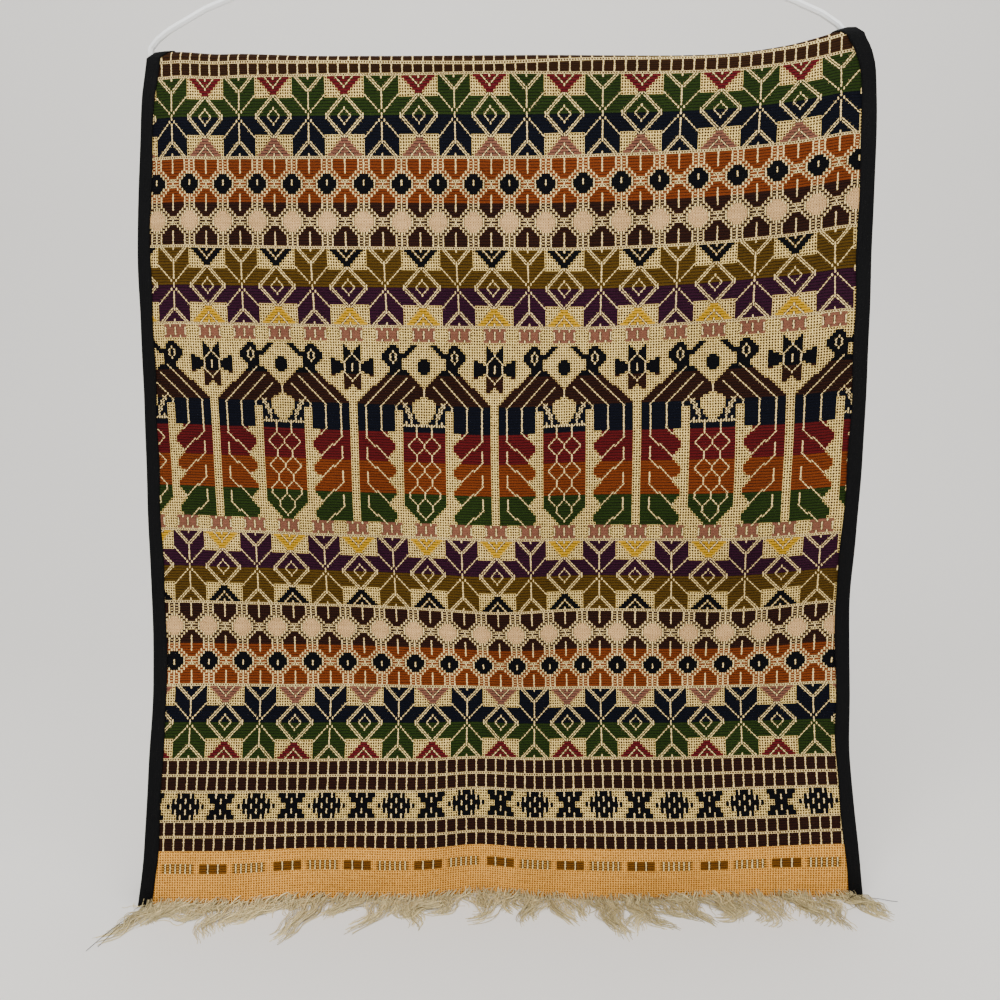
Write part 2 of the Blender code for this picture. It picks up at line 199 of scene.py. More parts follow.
class Curve:
    """Smooth curve through values at rising keys; values may be rows of several numbers."""

    def __init__(self, keys: np.ndarray, values: np.ndarray) -> None:
        """Slopes at the keys come from their neighbours.

        Args:
            keys: Rising keys.
            values: Values at the keys, one row for each key.
        """
        self.keys = np.asarray(keys, float)
        self.values = np.asarray(values, float)
        gaps = np.diff(self.keys).reshape(-1, *[1] * (self.values.ndim - 1))
        steps = np.diff(self.values, axis=0)
        inner = (steps[1:] + steps[:-1]) / (gaps[1:] + gaps[:-1])
        self.slopes = np.concatenate([steps[:1] / gaps[:1], inner, steps[-1:] / gaps[-1:]])

    @classmethod
    def column(cls, table: tuple, column: int) -> "Curve":
        """Curve through one column of a table, keyed by the table's first column."""
        rows = np.array(table, float)
        return cls(rows[:, 0], rows[:, column])

    def __call__(self, key: np.ndarray) -> np.ndarray:
        """Values at the keys, held at the ends outside them.

        Args:
            key: One place or an array of places.

        Returns:
            The value at each place, along a smooth curve.
        """
        key = np.clip(key, self.keys[0], self.keys[-1])
        i = np.clip(np.searchsorted(self.keys, key, side="left") - 1, 0, len(self.keys) - 2)
        span = self.keys[i + 1] - self.keys[i]
        t = (key - self.keys[i]) / span
        if self.values.ndim > 1:
            t, span = t[..., None], span[..., None]
        start = (1 + 2 * t) * (1 - t) ** 2 * self.values[i]
        start = start + t * (1 - t) ** 2 * span * self.slopes[i]
        end = t * t * (3 - 2 * t) * self.values[i + 1]
        return start + end + t * t * (t - 1) * span * self.slopes[i + 1]


def ease(t: np.ndarray) -> np.ndarray:
    """Smooth step from 0 to 1."""
    t = np.clip(t, 0.0, 1.0)
    return t * t * (3 - 2 * t)


@dataclass
class Drape:
    """Middle surface of the hanging cloth.

    Places on it are x in millimetres and s, the distance along the cloth from the top
    of the fold: positive down the front, negative down the back.
    """

    ridge_y: Curve = field(default_factory=lambda: Curve.column(RIDGE, 1))
    ridge_z: Curve = field(default_factory=lambda: Curve.column(RIDGE, 2))
    halves: dict = field(default_factory=dict)

    def __post_init__(self) -> None:
        """Curves for each column of both halves."""
        for front, table in ((True, FRONT), (False, BACK)):
            self.halves[front] = [None] + [Curve.column(table, k) for k in range(1, 8)]

    def edge(self, side: int, s: np.ndarray) -> np.ndarray:
        """Outer edge x of the bound cloth.

        Args:
            side: 0 for left and 1 for right.
            s: Distances along the cloth, all on one half.

        Returns:
            The edge's x at each distance.
        """
        front = bool(np.all(s >= 0))
        curve = self.halves[front][1 + side]
        drop = np.abs(s) - ARC_LENGTH
        turned = np.clip(np.abs(s) / (CORNER if front else ARC_LENGTH), 0, 1)
        turned = turned**2 if front else turned
        top = TOP_EDGES[side]
        over = top + (curve.values[0] - top) * turned
        return np.where(drop >= 0, curve(drop), over)

    def share(self, x: np.ndarray, s: np.ndarray) -> np.ndarray:
        """Place across the cloth, 0 at its left cut edge and 1 at its right.

        Args:
            x: Places in millimetres.
            s: Distances along the cloth, all on one half.

        Returns:
            The share of the width at each place.
        """
        left = self.edge(0, s) + TAPE_WALL
        right = self.edge(1, s) - TAPE_WALL
        return (x - left) / (right - left)

    def at(self, v: np.ndarray, s: np.ndarray) -> np.ndarray:
        """Points of the middle surface.

        Args:
            v: Places across, 0 to 1.
            s: Distances along, all on one half.

        Returns:
            An array of x, y, z in millimetres, one row per place.
        """
        v, s = np.broadcast_arrays(np.asarray(v, float), np.asarray(s, float))
        front = bool(np.all(s >= 0))
        half = self.halves[front]
        facing = -1.0 if front else 1.0
        left = self.edge(0, s) + TAPE_WALL
        right = self.edge(1, s) - TAPE_WALL
        x = left + v * (right - left)
        ridge_y, ridge_z = self.ridge_y(x), self.ridge_z(x)
        angle = np.clip(np.abs(s) / FOLD_RADIUS, 0, math.pi / 2)
        round_y = ridge_y + facing * FOLD_RADIUS * np.sin(angle)
        round_z = ridge_z + FOLD_RADIUS * np.cos(angle)
        drop = np.abs(s) - ARC_LENGTH
        middle_z = float(self.ridge_z(np.array(0.0)))
        keep = half[6](drop) * (1 - v) + half[7](drop) * v
        z = middle_z - drop + (ridge_z - middle_z) * keep
        y_left, y_middle, y_right = half[3](drop), half[4](drop), half[5](drop)
        across = 2 * v - 1
        bow = (y_right + y_left) / 2 - y_middle
        y = y_middle + (y_right - y_left) / 2 * across + bow * across * across
        for place, deep, width, start in FRONT_FOLDS if front else BACK_FOLDS:
            grown = ease((drop - start) / (HEM_DROP - start))
            y = y + deep * grown * np.exp(-(((x - place) / width) ** 2))
        for length, rise, turn, offset in RIPPLES:
            way = x * math.cos(turn) + drop * math.sin(turn)
            y = y + rise * np.sin(math.tau * way / length + offset)
        near_fold = 1 - ease(drop / FOLD_EASE)
        y = near_fold * (ridge_y + facing * FOLD_RADIUS) + (1 - near_fold) * y
        over = drop <= 0
        points = [x, np.where(over, round_y, y), np.where(over, round_z, np.maximum(z, FLOOR))]
        return np.stack(points, axis=-1)

    def outward(self, v: np.ndarray, s: np.ndarray) -> np.ndarray:
        """Unit normals of the middle surface, pointing away from the bar.

        Args:
            v: Places across, 0 to 1.
            s: Distances along, all on one half.

        Returns:
            One row of x, y, z for each place.
        """
        front = bool(np.all(np.asarray(s) >= 0))
        step = 0.002
        v0 = np.clip(v, step, 1 - step)
        across = self.at(v0 + step, s) - self.at(v0 - step, s)
        limit = ARC_LENGTH + HEM_DROP - 0.5
        size = np.clip(np.abs(s), 0.5, limit)
        s0 = size if front else -size
        along = self.at(v, s0 + 0.5) - self.at(v, s0 - 0.5)
        normal = np.cross(along, across)
        return normal / np.linalg.norm(normal, axis=-1, keepdims=True)


class Mark(Enum):
    """What one cell of the weaver's chart is worked in."""

    GROUND = 0
    LINE = 1
    FIGURE = 2
    CHEVRON = 3
    NET = 4
    PALE = 5
    EYE = 6
    PINK = 7
    HEM = 8
    DASH = 9
    BLOCK = 10
    WEFT = 11
    HEM_LINE = 12
    SLIT = 13


def srgb(code: str) -> tuple[float, float, float]:
    """Linear red, green and blue of a colour written as six hexadecimal digits."""
    values = [int(code[k : k + 2], 16) / 255 for k in (0, 2, 4)]
    return tuple(v / 12.92 if v <= 0.04045 else ((v + 0.055) / 1.055) ** 2.4 for v in values)


class Dye(Enum):
    """Yarn colours, but SHADOW is no yarn: it is the painted shade in the holes between threads. BLACK is a
    yarn and is also the painted shade between the rows of dark figures.
    """

    GROUND = "ffdc84"
    # Painted shade for the holes between threads of the ground and the weft lines, not a yarn
    SHADOW = "331c06"
    CREAM = "ecce8c"
    # A yarn, and also the painted shade between the rows of the dark figures
    BLACK = "050508"
    NAVY = "060812"
    GREEN = "1e2c0a"
    OLIVE = "4a340a"
    PURPLE = "2a0c1e"
    BROWN = "251008"
    UMBER = "2c1808"
    RUST = "682e0e"
    RED = "561216"
    WINE = "4e0e10"
    PINK = "744a3a"
    BEIGE = "d0a670"
    YELLOW = "b88a14"
    ORANGE = "fab654"
    AMBER = "8c5210"
    TAN = "6a4010"


class Band(Enum):
    """Kinds of band that the cloth repeats."""

    GRID = "grid"
    STAR = "star"
    MEDALLION = "medallion"
    MEDALLION_TURNED = "medallion_turned"
    BIRD = "bird"
    FLOWER = "flower"
    HEM = "hem"


# Bands: first row, row after the last, kind, upper dye, lower dye, upper and lower chevron.
# Each band's first row is its weft line.
BANDS = (
    (-18, 0, Band.GRID, Dye.UMBER, Dye.UMBER, None, None),
    (0, 27, Band.STAR, Dye.GREEN, Dye.NAVY, Dye.RED, Dye.PINK),
    (27, 58, Band.MEDALLION, Dye.RUST, Dye.BROWN, None, None),
    (58, 85, Band.STAR, Dye.OLIVE, Dye.PURPLE, Dye.BLACK, Dye.YELLOW),
    (85, 163, Band.BIRD, Dye.BLACK, Dye.GREEN, None, None),
    (163, 190, Band.STAR, Dye.PURPLE, Dye.OLIVE, Dye.YELLOW, Dye.BLACK),
    (190, 221, Band.MEDALLION_TURNED, Dye.BROWN, Dye.RUST, None, None),
    (221, 248, Band.STAR, Dye.NAVY, Dye.GREEN, Dye.PINK, Dye.RED),
    (248, 283, Band.FLOWER, Dye.BROWN, Dye.BROWN, None, None),
    (283, 305, Band.HEM, Dye.TAN, Dye.TAN, None, None),
)
GRID_LINES = (-18, -12, -6)
FLOWER_LINES = (0, 6, 12, 23, 29)

# Colours down the bird band: first row of the zone within the figures, colour
BIRD_ZONES = (
    (0, Dye.BLACK),
    (12, Dye.BROWN),
    (23, Dye.NAVY),
    (33, Dye.WINE),
    (44, Dye.RUST),
    (56, Dye.GREEN),
)
PINK_ROWS = 5
BIRD_ROWS = 67
BIRD_HALF = 28


class Plot:
    """Small chart that a band is drawn on, one mark for each row and column."""

    def __init__(self, rows: int, columns: int, base: Mark = Mark.GROUND) -> None:
        """Starts with one mark all over."""
        self.marks = np.full((rows, columns), base.value, np.int8)

    def put(self, row: int, column: int, mark: Mark) -> None:
        """One cell, left out where it falls off the chart.

        Args:
            row: The cell's row.
            column: The cell's column.
            mark: What it is worked in.
        """
        rows, columns = self.marks.shape
        if 0 <= row < rows and 0 <= column < columns:
            self.marks[row, column] = mark.value

    def span(self, row: int, first: int, last: int, mark: Mark) -> None:
        """Cells first to last of one row."""
        for column in range(first, last + 1):
            self.put(row, column, mark)

    def post(self, column: int, first: int, last: int, mark: Mark) -> None:
        """Cells first to last of one column."""
        for row in range(first, last + 1):
            self.put(row, column, mark)

    def slant(self, row: int, column: int, steps: int, lean: int, mark: Mark, wide: int = 1) -> None:
        """Line that moves lean columns for each row down, wide cells across.

        Args:
            row: Row of its upper end.
            column: Column of its upper end.
            steps: How many rows it crosses.
            lean: Columns that it moves for each row.
            mark: What it is worked in.
            wide: Cells across.
        """
        for k in range(steps):
            place = column + lean * k
            self.span(row + k, place, place + wide - 1, mark)


def star_plot() -> np.ndarray:
    """Star and diamond of the star bands: 27 rows by columns 0 to 14 from a star's centre.

    Returns:
        The marks by row and column.
    """
    plot = Plot(27, 15, Mark.WEFT)
    for k in range(1, 14):
        for row in (14 - k, 13 + k):
            for u in range(15):
                plot.put(row, u, star_mark(k, u, 14 - u))
    return plot.marks


def star_mark(k: int, u: int, w: int) -> Mark:
    """Mark of one cell of a star band.

    Args:
        k: Rows from the band's middle, 1 to 13.
        u: Columns from the star's centre.
        w: Columns from the diamond's centre.

    Returns:
        What the cell is worked in.
    """
    if k >= 7 and w <= 7:
        return square_mark(k, w)
    arm = (k <= 7 and u == k - 1) or (u == 0 and k <= 9 and k != 2)
    petal = (k == 9 and u <= 1) or (k >= 10 and u in (k - 9, k - 8)) or (k == 13 and u == 0)
    diamond = 6 - w in (k - 2, k - 1) and k <= 7
    ring = w == 3 - k
    return Mark.LINE if arm or petal or diamond or ring else Mark.FIGURE


def square_mark(k: int, w: int) -> Mark:
    """Mark of one cell of the ground square over and under a diamond, with its chevron.

    Args:
        k: Rows from the band's middle, 7 to 13.
        w: Columns from the diamond's centre.

    Returns:
        What the cell is worked in.
    """
    if k == 7:
        return Mark.LINE if w <= 1 else Mark.GROUND
    if w == k - 10 or (k == 13 and w == 0):
        return Mark.LINE
    return Mark.CHEVRON if w <= k - 7 else Mark.GROUND


def medallion_plot() -> np.ndarray:
    """Eyes, pale medallions and blocks: 31 rows by columns 0 to 7 from a block's centre.

    Returns:
        The marks by row and column.
    """
    plot = Plot(31, 8, Mark.BLOCK)
    for row in range(31):
        for column in range(8):
            plot.put(row, column, medallion_mark(row, 7 - column))
    for first, last in ((0, 5), (13, 18), (26, 30)):
        plot.post(0, first, last, Mark.LINE)
    return plot.marks


def medallion_mark(row: int, w: int) -> Mark:
    """Mark of one cell of a medallion band.

    Args:
        row: Row within the band.
        w: Columns from the eye's centre, 0 to 7.

    Returns:
        What the cell is worked in.
    """
    centre = 9 if row < 16 else 22
    up = abs(row - centre)
    if up > 4:
        ladder = {0: Mark.LINE, 1: Mark.NET, 2: Mark.LINE}
        return ladder.get(w, Mark.BLOCK)
    reach = min(3, 4 - up)
    ring = w - reach
    if ring > 2 and up <= 1:
        link = Mark.LINE if w == 7 else Mark.NET
        return Mark.WEFT if up == 1 else link
    if ring <= 0 and up < 4:
        tick = centre == 9 and w == 0 and row in (8, 9)
        inside = Mark.EYE if centre == 9 else Mark.PALE
        return Mark.LINE if tick else inside
    return {0: Mark.LINE, 1: Mark.LINE, 2: Mark.NET, 3: Mark.LINE}.get(ring, Mark.BLOCK)


# Flowers and crosses, for each pair of rows from the middle outward: first and last ground
# column, then the columns of the pale stitches
FLOWER_STEPS = (
    (8, 11, (2, 6)),
    (6, 9, (0, 4, 14)),
    (4, 8, (2, 12)),
)
FLOWER_MIDDLE = 17


def flower_plot() -> np.ndarray:
    """Grid, flowers and crosses, grid: 35 rows by columns 0 to 14 from a flower's centre.

    Returns:
        The marks by row and column.
    """
    plot = Plot(35, 15, Mark.BLOCK)
    for column in range(0, 15, 4):
        plot.post(column, 0, 34, Mark.LINE)
    for step, (first, last, stitches) in enumerate(FLOWER_STEPS):
        for pair in {FLOWER_MIDDLE - 2 * step, FLOWER_MIDDLE + 2 * step}:
            for row in (pair, pair + 1):
                plot.span(row, 0, 14, Mark.EYE)
                plot.span(row, first, last, Mark.GROUND)
                for column in stitches:
                    plot.put(row, column, Mark.LINE)
    return plot.marks


# Bird's head and breast: row, first and last column from the tail gap's middle
BIRD_BODY = (
    (1, 15, 17),
    (2, 14, 18),
    (3, 13, 18),
    (4, 12, 22),
    (5, 12, 21),
    (6, 12, 19),
    (7, 13, 19),
    (8, 14, 19),
    (9, 15, 19),
    (10, 15, 21),
    (11, 14, 22),
    (12, 13, 23),
    (13, 12, 24),
    (14, 11, 25),
    (15, 10, 26),
    (16, 8, 27),
    (17, 7, 27),
)
# Boxed eye: row, and its pale columns
BIRD_EYE = (
    (3, (16,)),
    (4, (15, 17)),
    (5, (15, 17)),
    (6, (15, 17)),
    (7, (16,)),
)
# Side petals of the small star: row, first and last column
SIDE_PETALS = ((6, 7, 8), (7, 5, 8), (8, 4, 8), (9, 4, 8), (10, 4, 8), (11, 5, 8), (12, 7, 8))
# Foot of the bird: row, first and last column of its pale stitches
FOOT = (
    (22, 20, 21),
    (23, 20, 21),
    (24, 21, 22),
    (25, 21, 22),
    (26, 22, 23),
    (27, 22, 23),
    (28, 23, 23),
    (29, 23, 23),
)
# Rows where the feathers of the tail are longest, and where the pale line of each leaves
# the middle of the tail
FEATHER_TIPS = (38, 47, 55, 64)
FEATHER_LINES = (35, 43, 52, 61)
# Half widths of the lozenge under the beaks, row by row
LOZENGE = (1, 3, 4, 4, 4, 4, 3, 3, 2, 1, 1)


def bird_plot() -> np.ndarray:
    """Birds of the wide band: 67 rows by columns 0 to 28 from the tail gap's middle.

    Returns:
        The marks by row and column.
    """
    plot = Plot(BIRD_ROWS, BIRD_HALF + 1)
    draw_small_star(plot)
    for row, first, last in BIRD_BODY:
        plot.span(row, first, last, Mark.FIGURE)
    for row in range(18, BIRD_ROWS):
        plot.span(row, 0, BIRD_HALF, Mark.FIGURE)
    draw_crest_and_eye(plot)
    draw_breast(plot)
    draw_tail(plot)
    draw_panel(plot)
    return plot.marks


def draw_small_star(plot: Plot) -> None:
    """Small star over the tail gap and the wing beside it.

    Args:
        plot: The bird band's chart.
    """
    for row in range(1, 18):
        notch = max(3 - row, row - 16, -1)
        plot.span(row, notch + 1, 3, Mark.FIGURE)
    for away, reach in enumerate((3, 3, 3, 2, 1, 0)):
        for row in (9 - away, 9 + away):
            plot.put(row, reach, Mark.LINE)
    plot.post(0, 8, 10, Mark.LINE)
    for row, first, last in SIDE_PETALS:
        plot.span(row, first, last, Mark.FIGURE)


def draw_crest_and_eye(plot: Plot) -> None:
    """Crest that leans out from the head, the boxed eye, and the spot between two birds.

    Args:
        plot: The bird band's chart.
    """
    plot.slant(1, 23, 3, -1, Mark.FIGURE, wide=3)
    for row, columns in BIRD_EYE:
        for column in columns:
            plot.put(row, column, Mark.LINE)
    for row, reach in ((6, 1), (7, 2), (8, 2), (9, 2), (10, 2), (11, 1)):
        plot.span(row, BIRD_HALF - reach, BIRD_HALF, Mark.FIGURE)


def draw_breast(plot: Plot) -> None:
    """Three slanting lines down the breast, the lozenge and the feet between two birds.

    Args:
        plot: The bird band's chart.
    """
    for row, reach in ((18, 5), (19, 4), (20, 3), (21, 2)):
        plot.span(row, 0, reach, Mark.GROUND)
    for row, column in ((10, 18), (13, 21), (16, 24)):
        plot.slant(row, column, 23 - row, -1, Mark.LINE)
    plot.post(5, 23, 34, Mark.LINE)
    plot.post(11, 23, 32, Mark.LINE)
    plot.slant(33, 12, 2, 1, Mark.LINE)
    plot.post(17, 23, 25, Mark.LINE)
    plot.post(BIRD_HALF, 17, 20, Mark.LINE)
    for row, reach in enumerate(LOZENGE, start=20):
        plot.span(row, BIRD_HALF - reach, BIRD_HALF, Mark.GROUND)
    for row, first, last in FOOT:
        plot.span(row, first, last, Mark.LINE)
    plot.span(30, 20, BIRD_HALF, Mark.LINE)
    plot.put(29, 21, Mark.LINE)


def draw_tail(plot: Plot) -> None:
    """Ground strips either side of the tail, and its feathers with their long pointed ends.

    Args:
        plot: The bird band's chart.
    """
    for row in range(22, BIRD_ROWS):
        plot.span(row, 0, 1, Mark.GROUND)
    for row in range(25, 33):
        plot.span(row, 17, 19, Mark.GROUND)
    plot.span(33, 14, 19, Mark.GROUND)
    for row in range(34, BIRD_ROWS):
        away = min(abs(row - tip) for tip in FEATHER_TIPS)
        plot.span(row, 17 - min(max(away - 1, 0), 3), 19, Mark.GROUND)
    for start in FEATHER_LINES:
        if start > FEATHER_LINES[0]:
            plot.post(5, start - 4, start - 1, Mark.LINE)
        for k in range(8):
            plot.span(start + k, 5 + 5 * k // 4, 4 + 5 * (k + 1) // 4, Mark.LINE)


def draw_panel(plot: Plot) -> None:
    """Net of long hexagons between two tails, ending in a point.

    Args:
        plot: The bird band's chart.
    """
    for first, last in ((30, 34), (41, 43), (50, 52), (60, 62)):
        plot.post(25, first, last, Mark.LINE)
        plot.slant(last + 1, 26, 3, 1, Mark.LINE)
        if last < 60:
            plot.slant(last + 1, 24, 3, -1, Mark.LINE)
    for first, last in ((37, 38), (46, 47), (55, 57)):
        plot.post(28, first, last, Mark.LINE)
        plot.post(22, first, last, Mark.LINE)
        plot.slant(last + 1, 27, 2, -1, Mark.LINE)
        plot.slant(last + 1, 23, 2, 1, Mark.LINE)
    for row in range(61, BIRD_ROWS):
        plot.span(row, 17, row - 41, Mark.GROUND)


def pink_mark(row: int, column: int) -> Mark:
    """Mark of one cell of the small pink blocks, rows 0 to 4.

    Args:
        row: Row within the band.
        column: Column of the cloth.

    Returns:
        What the cell is worked in.
    """
    place = abs((column + 7) % 14 - 7)
    if place > 4:
        return Mark.GROUND
    stitched = place == 2 if row in (0, PINK_ROWS - 1) else place in (0, 4)
    return Mark.LINE if stitched else Mark.PINK


def hem_mark(row: int, column: int) -> Mark:
    """Mark of one cell of the hem: plain, but for blocks and fine ladders in turn.

    Args:
        row: Row within the band.
        column: Column of the cloth.

    Returns:
        What the cell is worked in.
    """
    if not 5 <= row <= 8:
        return Mark.HEM
    place = int((column - 7) % HEM_REPEAT)
    if place <= 10:
        return Mark.HEM_LINE if place % 4 == 3 else Mark.DASH
    if 13 <= place <= 25:
        return Mark.HEM_LINE if place % 2 == 0 else Mark.SLIT
    return Mark.HEM


class Chart:
    """The whole weaver's chart: for each cell a mark and the dye of its figure."""

    def __init__(self) -> None:
        """Works every band out once."""
        rows = HEM_ROW - FIRST_ROW
        columns = LAST_COLUMN - FIRST_COLUMN
        self.marks = np.zeros((rows, columns), np.int8)
        self.dyes = np.empty((rows, columns), object)
        self.plots = {
            Band.STAR: star_plot(),
            Band.MEDALLION: medallion_plot(),
            Band.MEDALLION_TURNED: np.roll(medallion_plot()[::-1], 1, axis=0),
            Band.FLOWER: flower_plot(),
            Band.BIRD: bird_plot(),
        }
        self.lines = {first for first, *_ in BANDS if first < BANDS[-1][0]}
        self.lines.update(GRID_LINES)
        self.lines.update(BANDS[-2][0] + row for row in FLOWER_LINES)
        for band in BANDS:
            self.fill(*band)

    def heights(self) -> np.ndarray:
        """Height of each row against a plain one; weft lines are LINE_HEIGHT high."""
        heights = [LINE_HEIGHT if row in self.lines else 1.0 for row in range(FIRST_ROW, HEM_ROW)]
        return np.array(heights)

    def beside(self, mark: Mark, other: Mark) -> np.ndarray:
        """Which cells of one mark have another mark at their left or right."""
        padded = np.pad(self.marks == other.value, ((0, 0), (1, 1)))
        return (self.marks == mark.value) & (padded[:, :-2] | padded[:, 2:])

    def leans(self) -> np.ndarray:
        """Which way the pale line through each cell slants: 1 down to the right, -1 to the left.

        Returns:
            The lean of every cell, 0 where nothing slants.
        """
        line = np.pad(self.marks == Mark.LINE.value, 1)
        right = line[:-2, :-2] | line[2:, 2:]
        left = line[:-2, 2:] | line[2:, :-2]
        return right.astype(float) - left.astype(float)

    def fill(self, first: int, stop: int, kind: Band, upper: Dye, lower: Dye, *chevrons: Dye) -> None:
        """Fills one band's rows.

        Args:
            first: The band's first row.
            stop: The row after its last.
            kind: Which repeat fills it.
            upper: Figure colour of the upper half.
            lower: Figure colour of the lower half.
            chevrons: Colours of the upper and lower chevrons.
        """
        for row in range(first, stop):
            inner = row - first
            low = inner >= (stop - first) / 2
            dye = lower if low else upper
            for column in range(FIRST_COLUMN, LAST_COLUMN):
                mark = Mark.WEFT if row in self.lines else self.mark_of(kind, inner, column)
                shade = dye
                if mark is Mark.CHEVRON:
                    shade = chevrons[1 if low else 0]
                elif kind is Band.BIRD:
                    shade = bird_dye(inner - 1 - PINK_ROWS)
                self.marks[row - FIRST_ROW, column - FIRST_COLUMN] = mark.value
                self.dyes[row - FIRST_ROW, column - FIRST_COLUMN] = shade

    def mark_of(self, kind: Band, row: int, column: int) -> Mark:
        """Mark of one cell from its band's repeat.

        Args:
            kind: The band's kind.
            row: Row within the band.
            column: Column of the cloth.

        Returns:
            What the cell is worked in.
        """
        if kind is Band.HEM:
            return hem_mark(row, column)
        if kind is Band.GRID:
            return Mark.LINE if column % 4 == 0 else Mark.BLOCK
        if kind is Band.BIRD:
            return self.bird_mark(row - 1, column)
        plot = self.plots[kind]
        period = 2 * (plot.shape[1] - 1)
        place = column % period
        return Mark(int(plot[row, min(place, period - place)]))

    def bird_mark(self, row: int, column: int) -> Mark:
        """Mark of one cell of the wide band, with its pink rows above and below.

        Args:
            row: Row within the band.
            column: Column of the cloth.

        Returns:
            What the cell is worked in.
        """
        if row < PINK_ROWS:
            return pink_mark(row, column)
        if row >= PINK_ROWS + BIRD_ROWS:
            return pink_mark(row - PINK_ROWS - BIRD_ROWS, column)
        place = (column - 14) % (2 * BIRD_HALF)
        place = min(place, 2 * BIRD_HALF - place)
        return Mark(int(self.plots[Band.BIRD][row - PINK_ROWS, place]))


def bird_dye(row: int) -> Dye:
    """Colour of the figures at one row of the wide band.

    Args:
        row: Row within the figures.

    Returns:
        The dye.
    """
    found = BIRD_ZONES[0][1]
    for first, dye in BIRD_ZONES:
        if row >= first:
            found = dye
    return found


# For each mark: thread colour, colour between the threads, size of the gap, height of the
# thread. A None takes the figure's own dye. A gap under 0 is open either side of a thread
# of that half width; a gap over 0 is a hole of that radius in the middle of the cell.
# The colour between shows in the gaps and at the edges of each row. SHADOW, BLACK, TAN and
# AMBER there are painted shade between the threads; the net's cream and a figure's dye
# beside a pale line are the pattern.
MARK_LOOKS = {
    Mark.GROUND: (Dye.GROUND, Dye.SHADOW, 0.385, 0.2),
    Mark.LINE: (Dye.CREAM, None, -0.27, 1.0),
    Mark.FIGURE: (None, Dye.BLACK, 0.0, 0.6),
    Mark.CHEVRON: (None, Dye.BLACK, 0.0, 0.6),
    Mark.NET: (None, Dye.CREAM, 0.0, 0.3),
    Mark.PALE: (Dye.BEIGE, Dye.TAN, 0.16, 0.3),
    Mark.EYE: (Dye.BLACK, Dye.BLACK, 0.0, 0.6),
    Mark.PINK: (Dye.PINK, Dye.TAN, 0.1, 0.6),
    Mark.HEM: (Dye.ORANGE, Dye.AMBER, 0.35, 0.2),
    Mark.DASH: (Dye.TAN, Dye.BLACK, 0.0, 0.5),
    Mark.BLOCK: (None, Dye.BLACK, 0.0, 0.6),
    Mark.WEFT: (Dye.CREAM, Dye.SHADOW, 0.34, 0.7),
    Mark.HEM_LINE: (Dye.CREAM, Dye.UMBER, -0.27, 0.8),
    Mark.SLIT: (Dye.TAN, Dye.ORANGE, 0.0, 0.2),
}


class Lattice:
    """Course of every warp and weft thread over the hanging cloth."""

    def __init__(self, chart: Chart) -> None:
        """Curves down the cloth for the given warp threads.

        Args:
            chart: The chart, for the heights of its rows.
        """
        self.levels = np.concatenate([[0.0], np.cumsum(chart.heights())])
        weft = np.array(WEFT_COURSES)
        warp = np.array(WARP_COURSES)
        self.along = Curve(self.level(weft[:, 0]), weft[:, 1:])
        self.across = Curve(self.level(warp[:, 0]), warp[:, 1:])
        over = weft[2, 1:]
        self.turned = -over - weft[0, 1:] - over.mean()

    def level(self, rows: np.ndarray) -> np.ndarray:
        """Height of each row place, in plain rows from the first one's upper edge."""
        return np.interp(rows, np.arange(FIRST_ROW, HEM_ROW + 1), self.levels)

    def corners(self, front: bool) -> tuple[np.ndarray, np.ndarray]:
        """Places of the corners of all cells on one half.

        Args:
            front: Which half.

        Returns:
            Arrays of x and of s, the signed distance from the fold, by row and column.
        """
        columns = np.arange(FIRST_COLUMN, LAST_COLUMN + 1) - 0.5
        along = self.along(self.levels)
        if not front:
            start, end = self.along.values[2].mean(), self.along.values[-1].mean()
            middle = along.mean(axis=1, keepdims=True)
            along = middle + self.turned * np.clip((end - middle) / (end - start), 0, 1.2)
        s = self.spread(along, columns)
        x = self.spread(self.across(self.levels), columns)
        s = np.clip(s, 0.0, ARC_LENGTH + HEM_DROP)
        return x, s if front else -s

    def spread(self, known: np.ndarray, columns: np.ndarray) -> np.ndarray:
        """Values at every column from those at the given threads, straight on past the last.

        Args:
            known: Values by row and thread.
            columns: Places in columns.

        Returns:
            Values by row and place.
        """
        keys = np.array(THREADS)
        values = known.T
        first = values[0] - (values[1] - values[0]) * COURSE_REACH / (keys[1] - keys[0])
        last = values[-1] + (values[-1] - values[-2]) * COURSE_REACH / (keys[-1] - keys[-2])
        keys = np.concatenate([[keys[0] - COURSE_REACH], keys, [keys[-1] + COURSE_REACH]])
        curve = Curve(keys, np.vstack([first, values, last]))
        return curve(columns).T


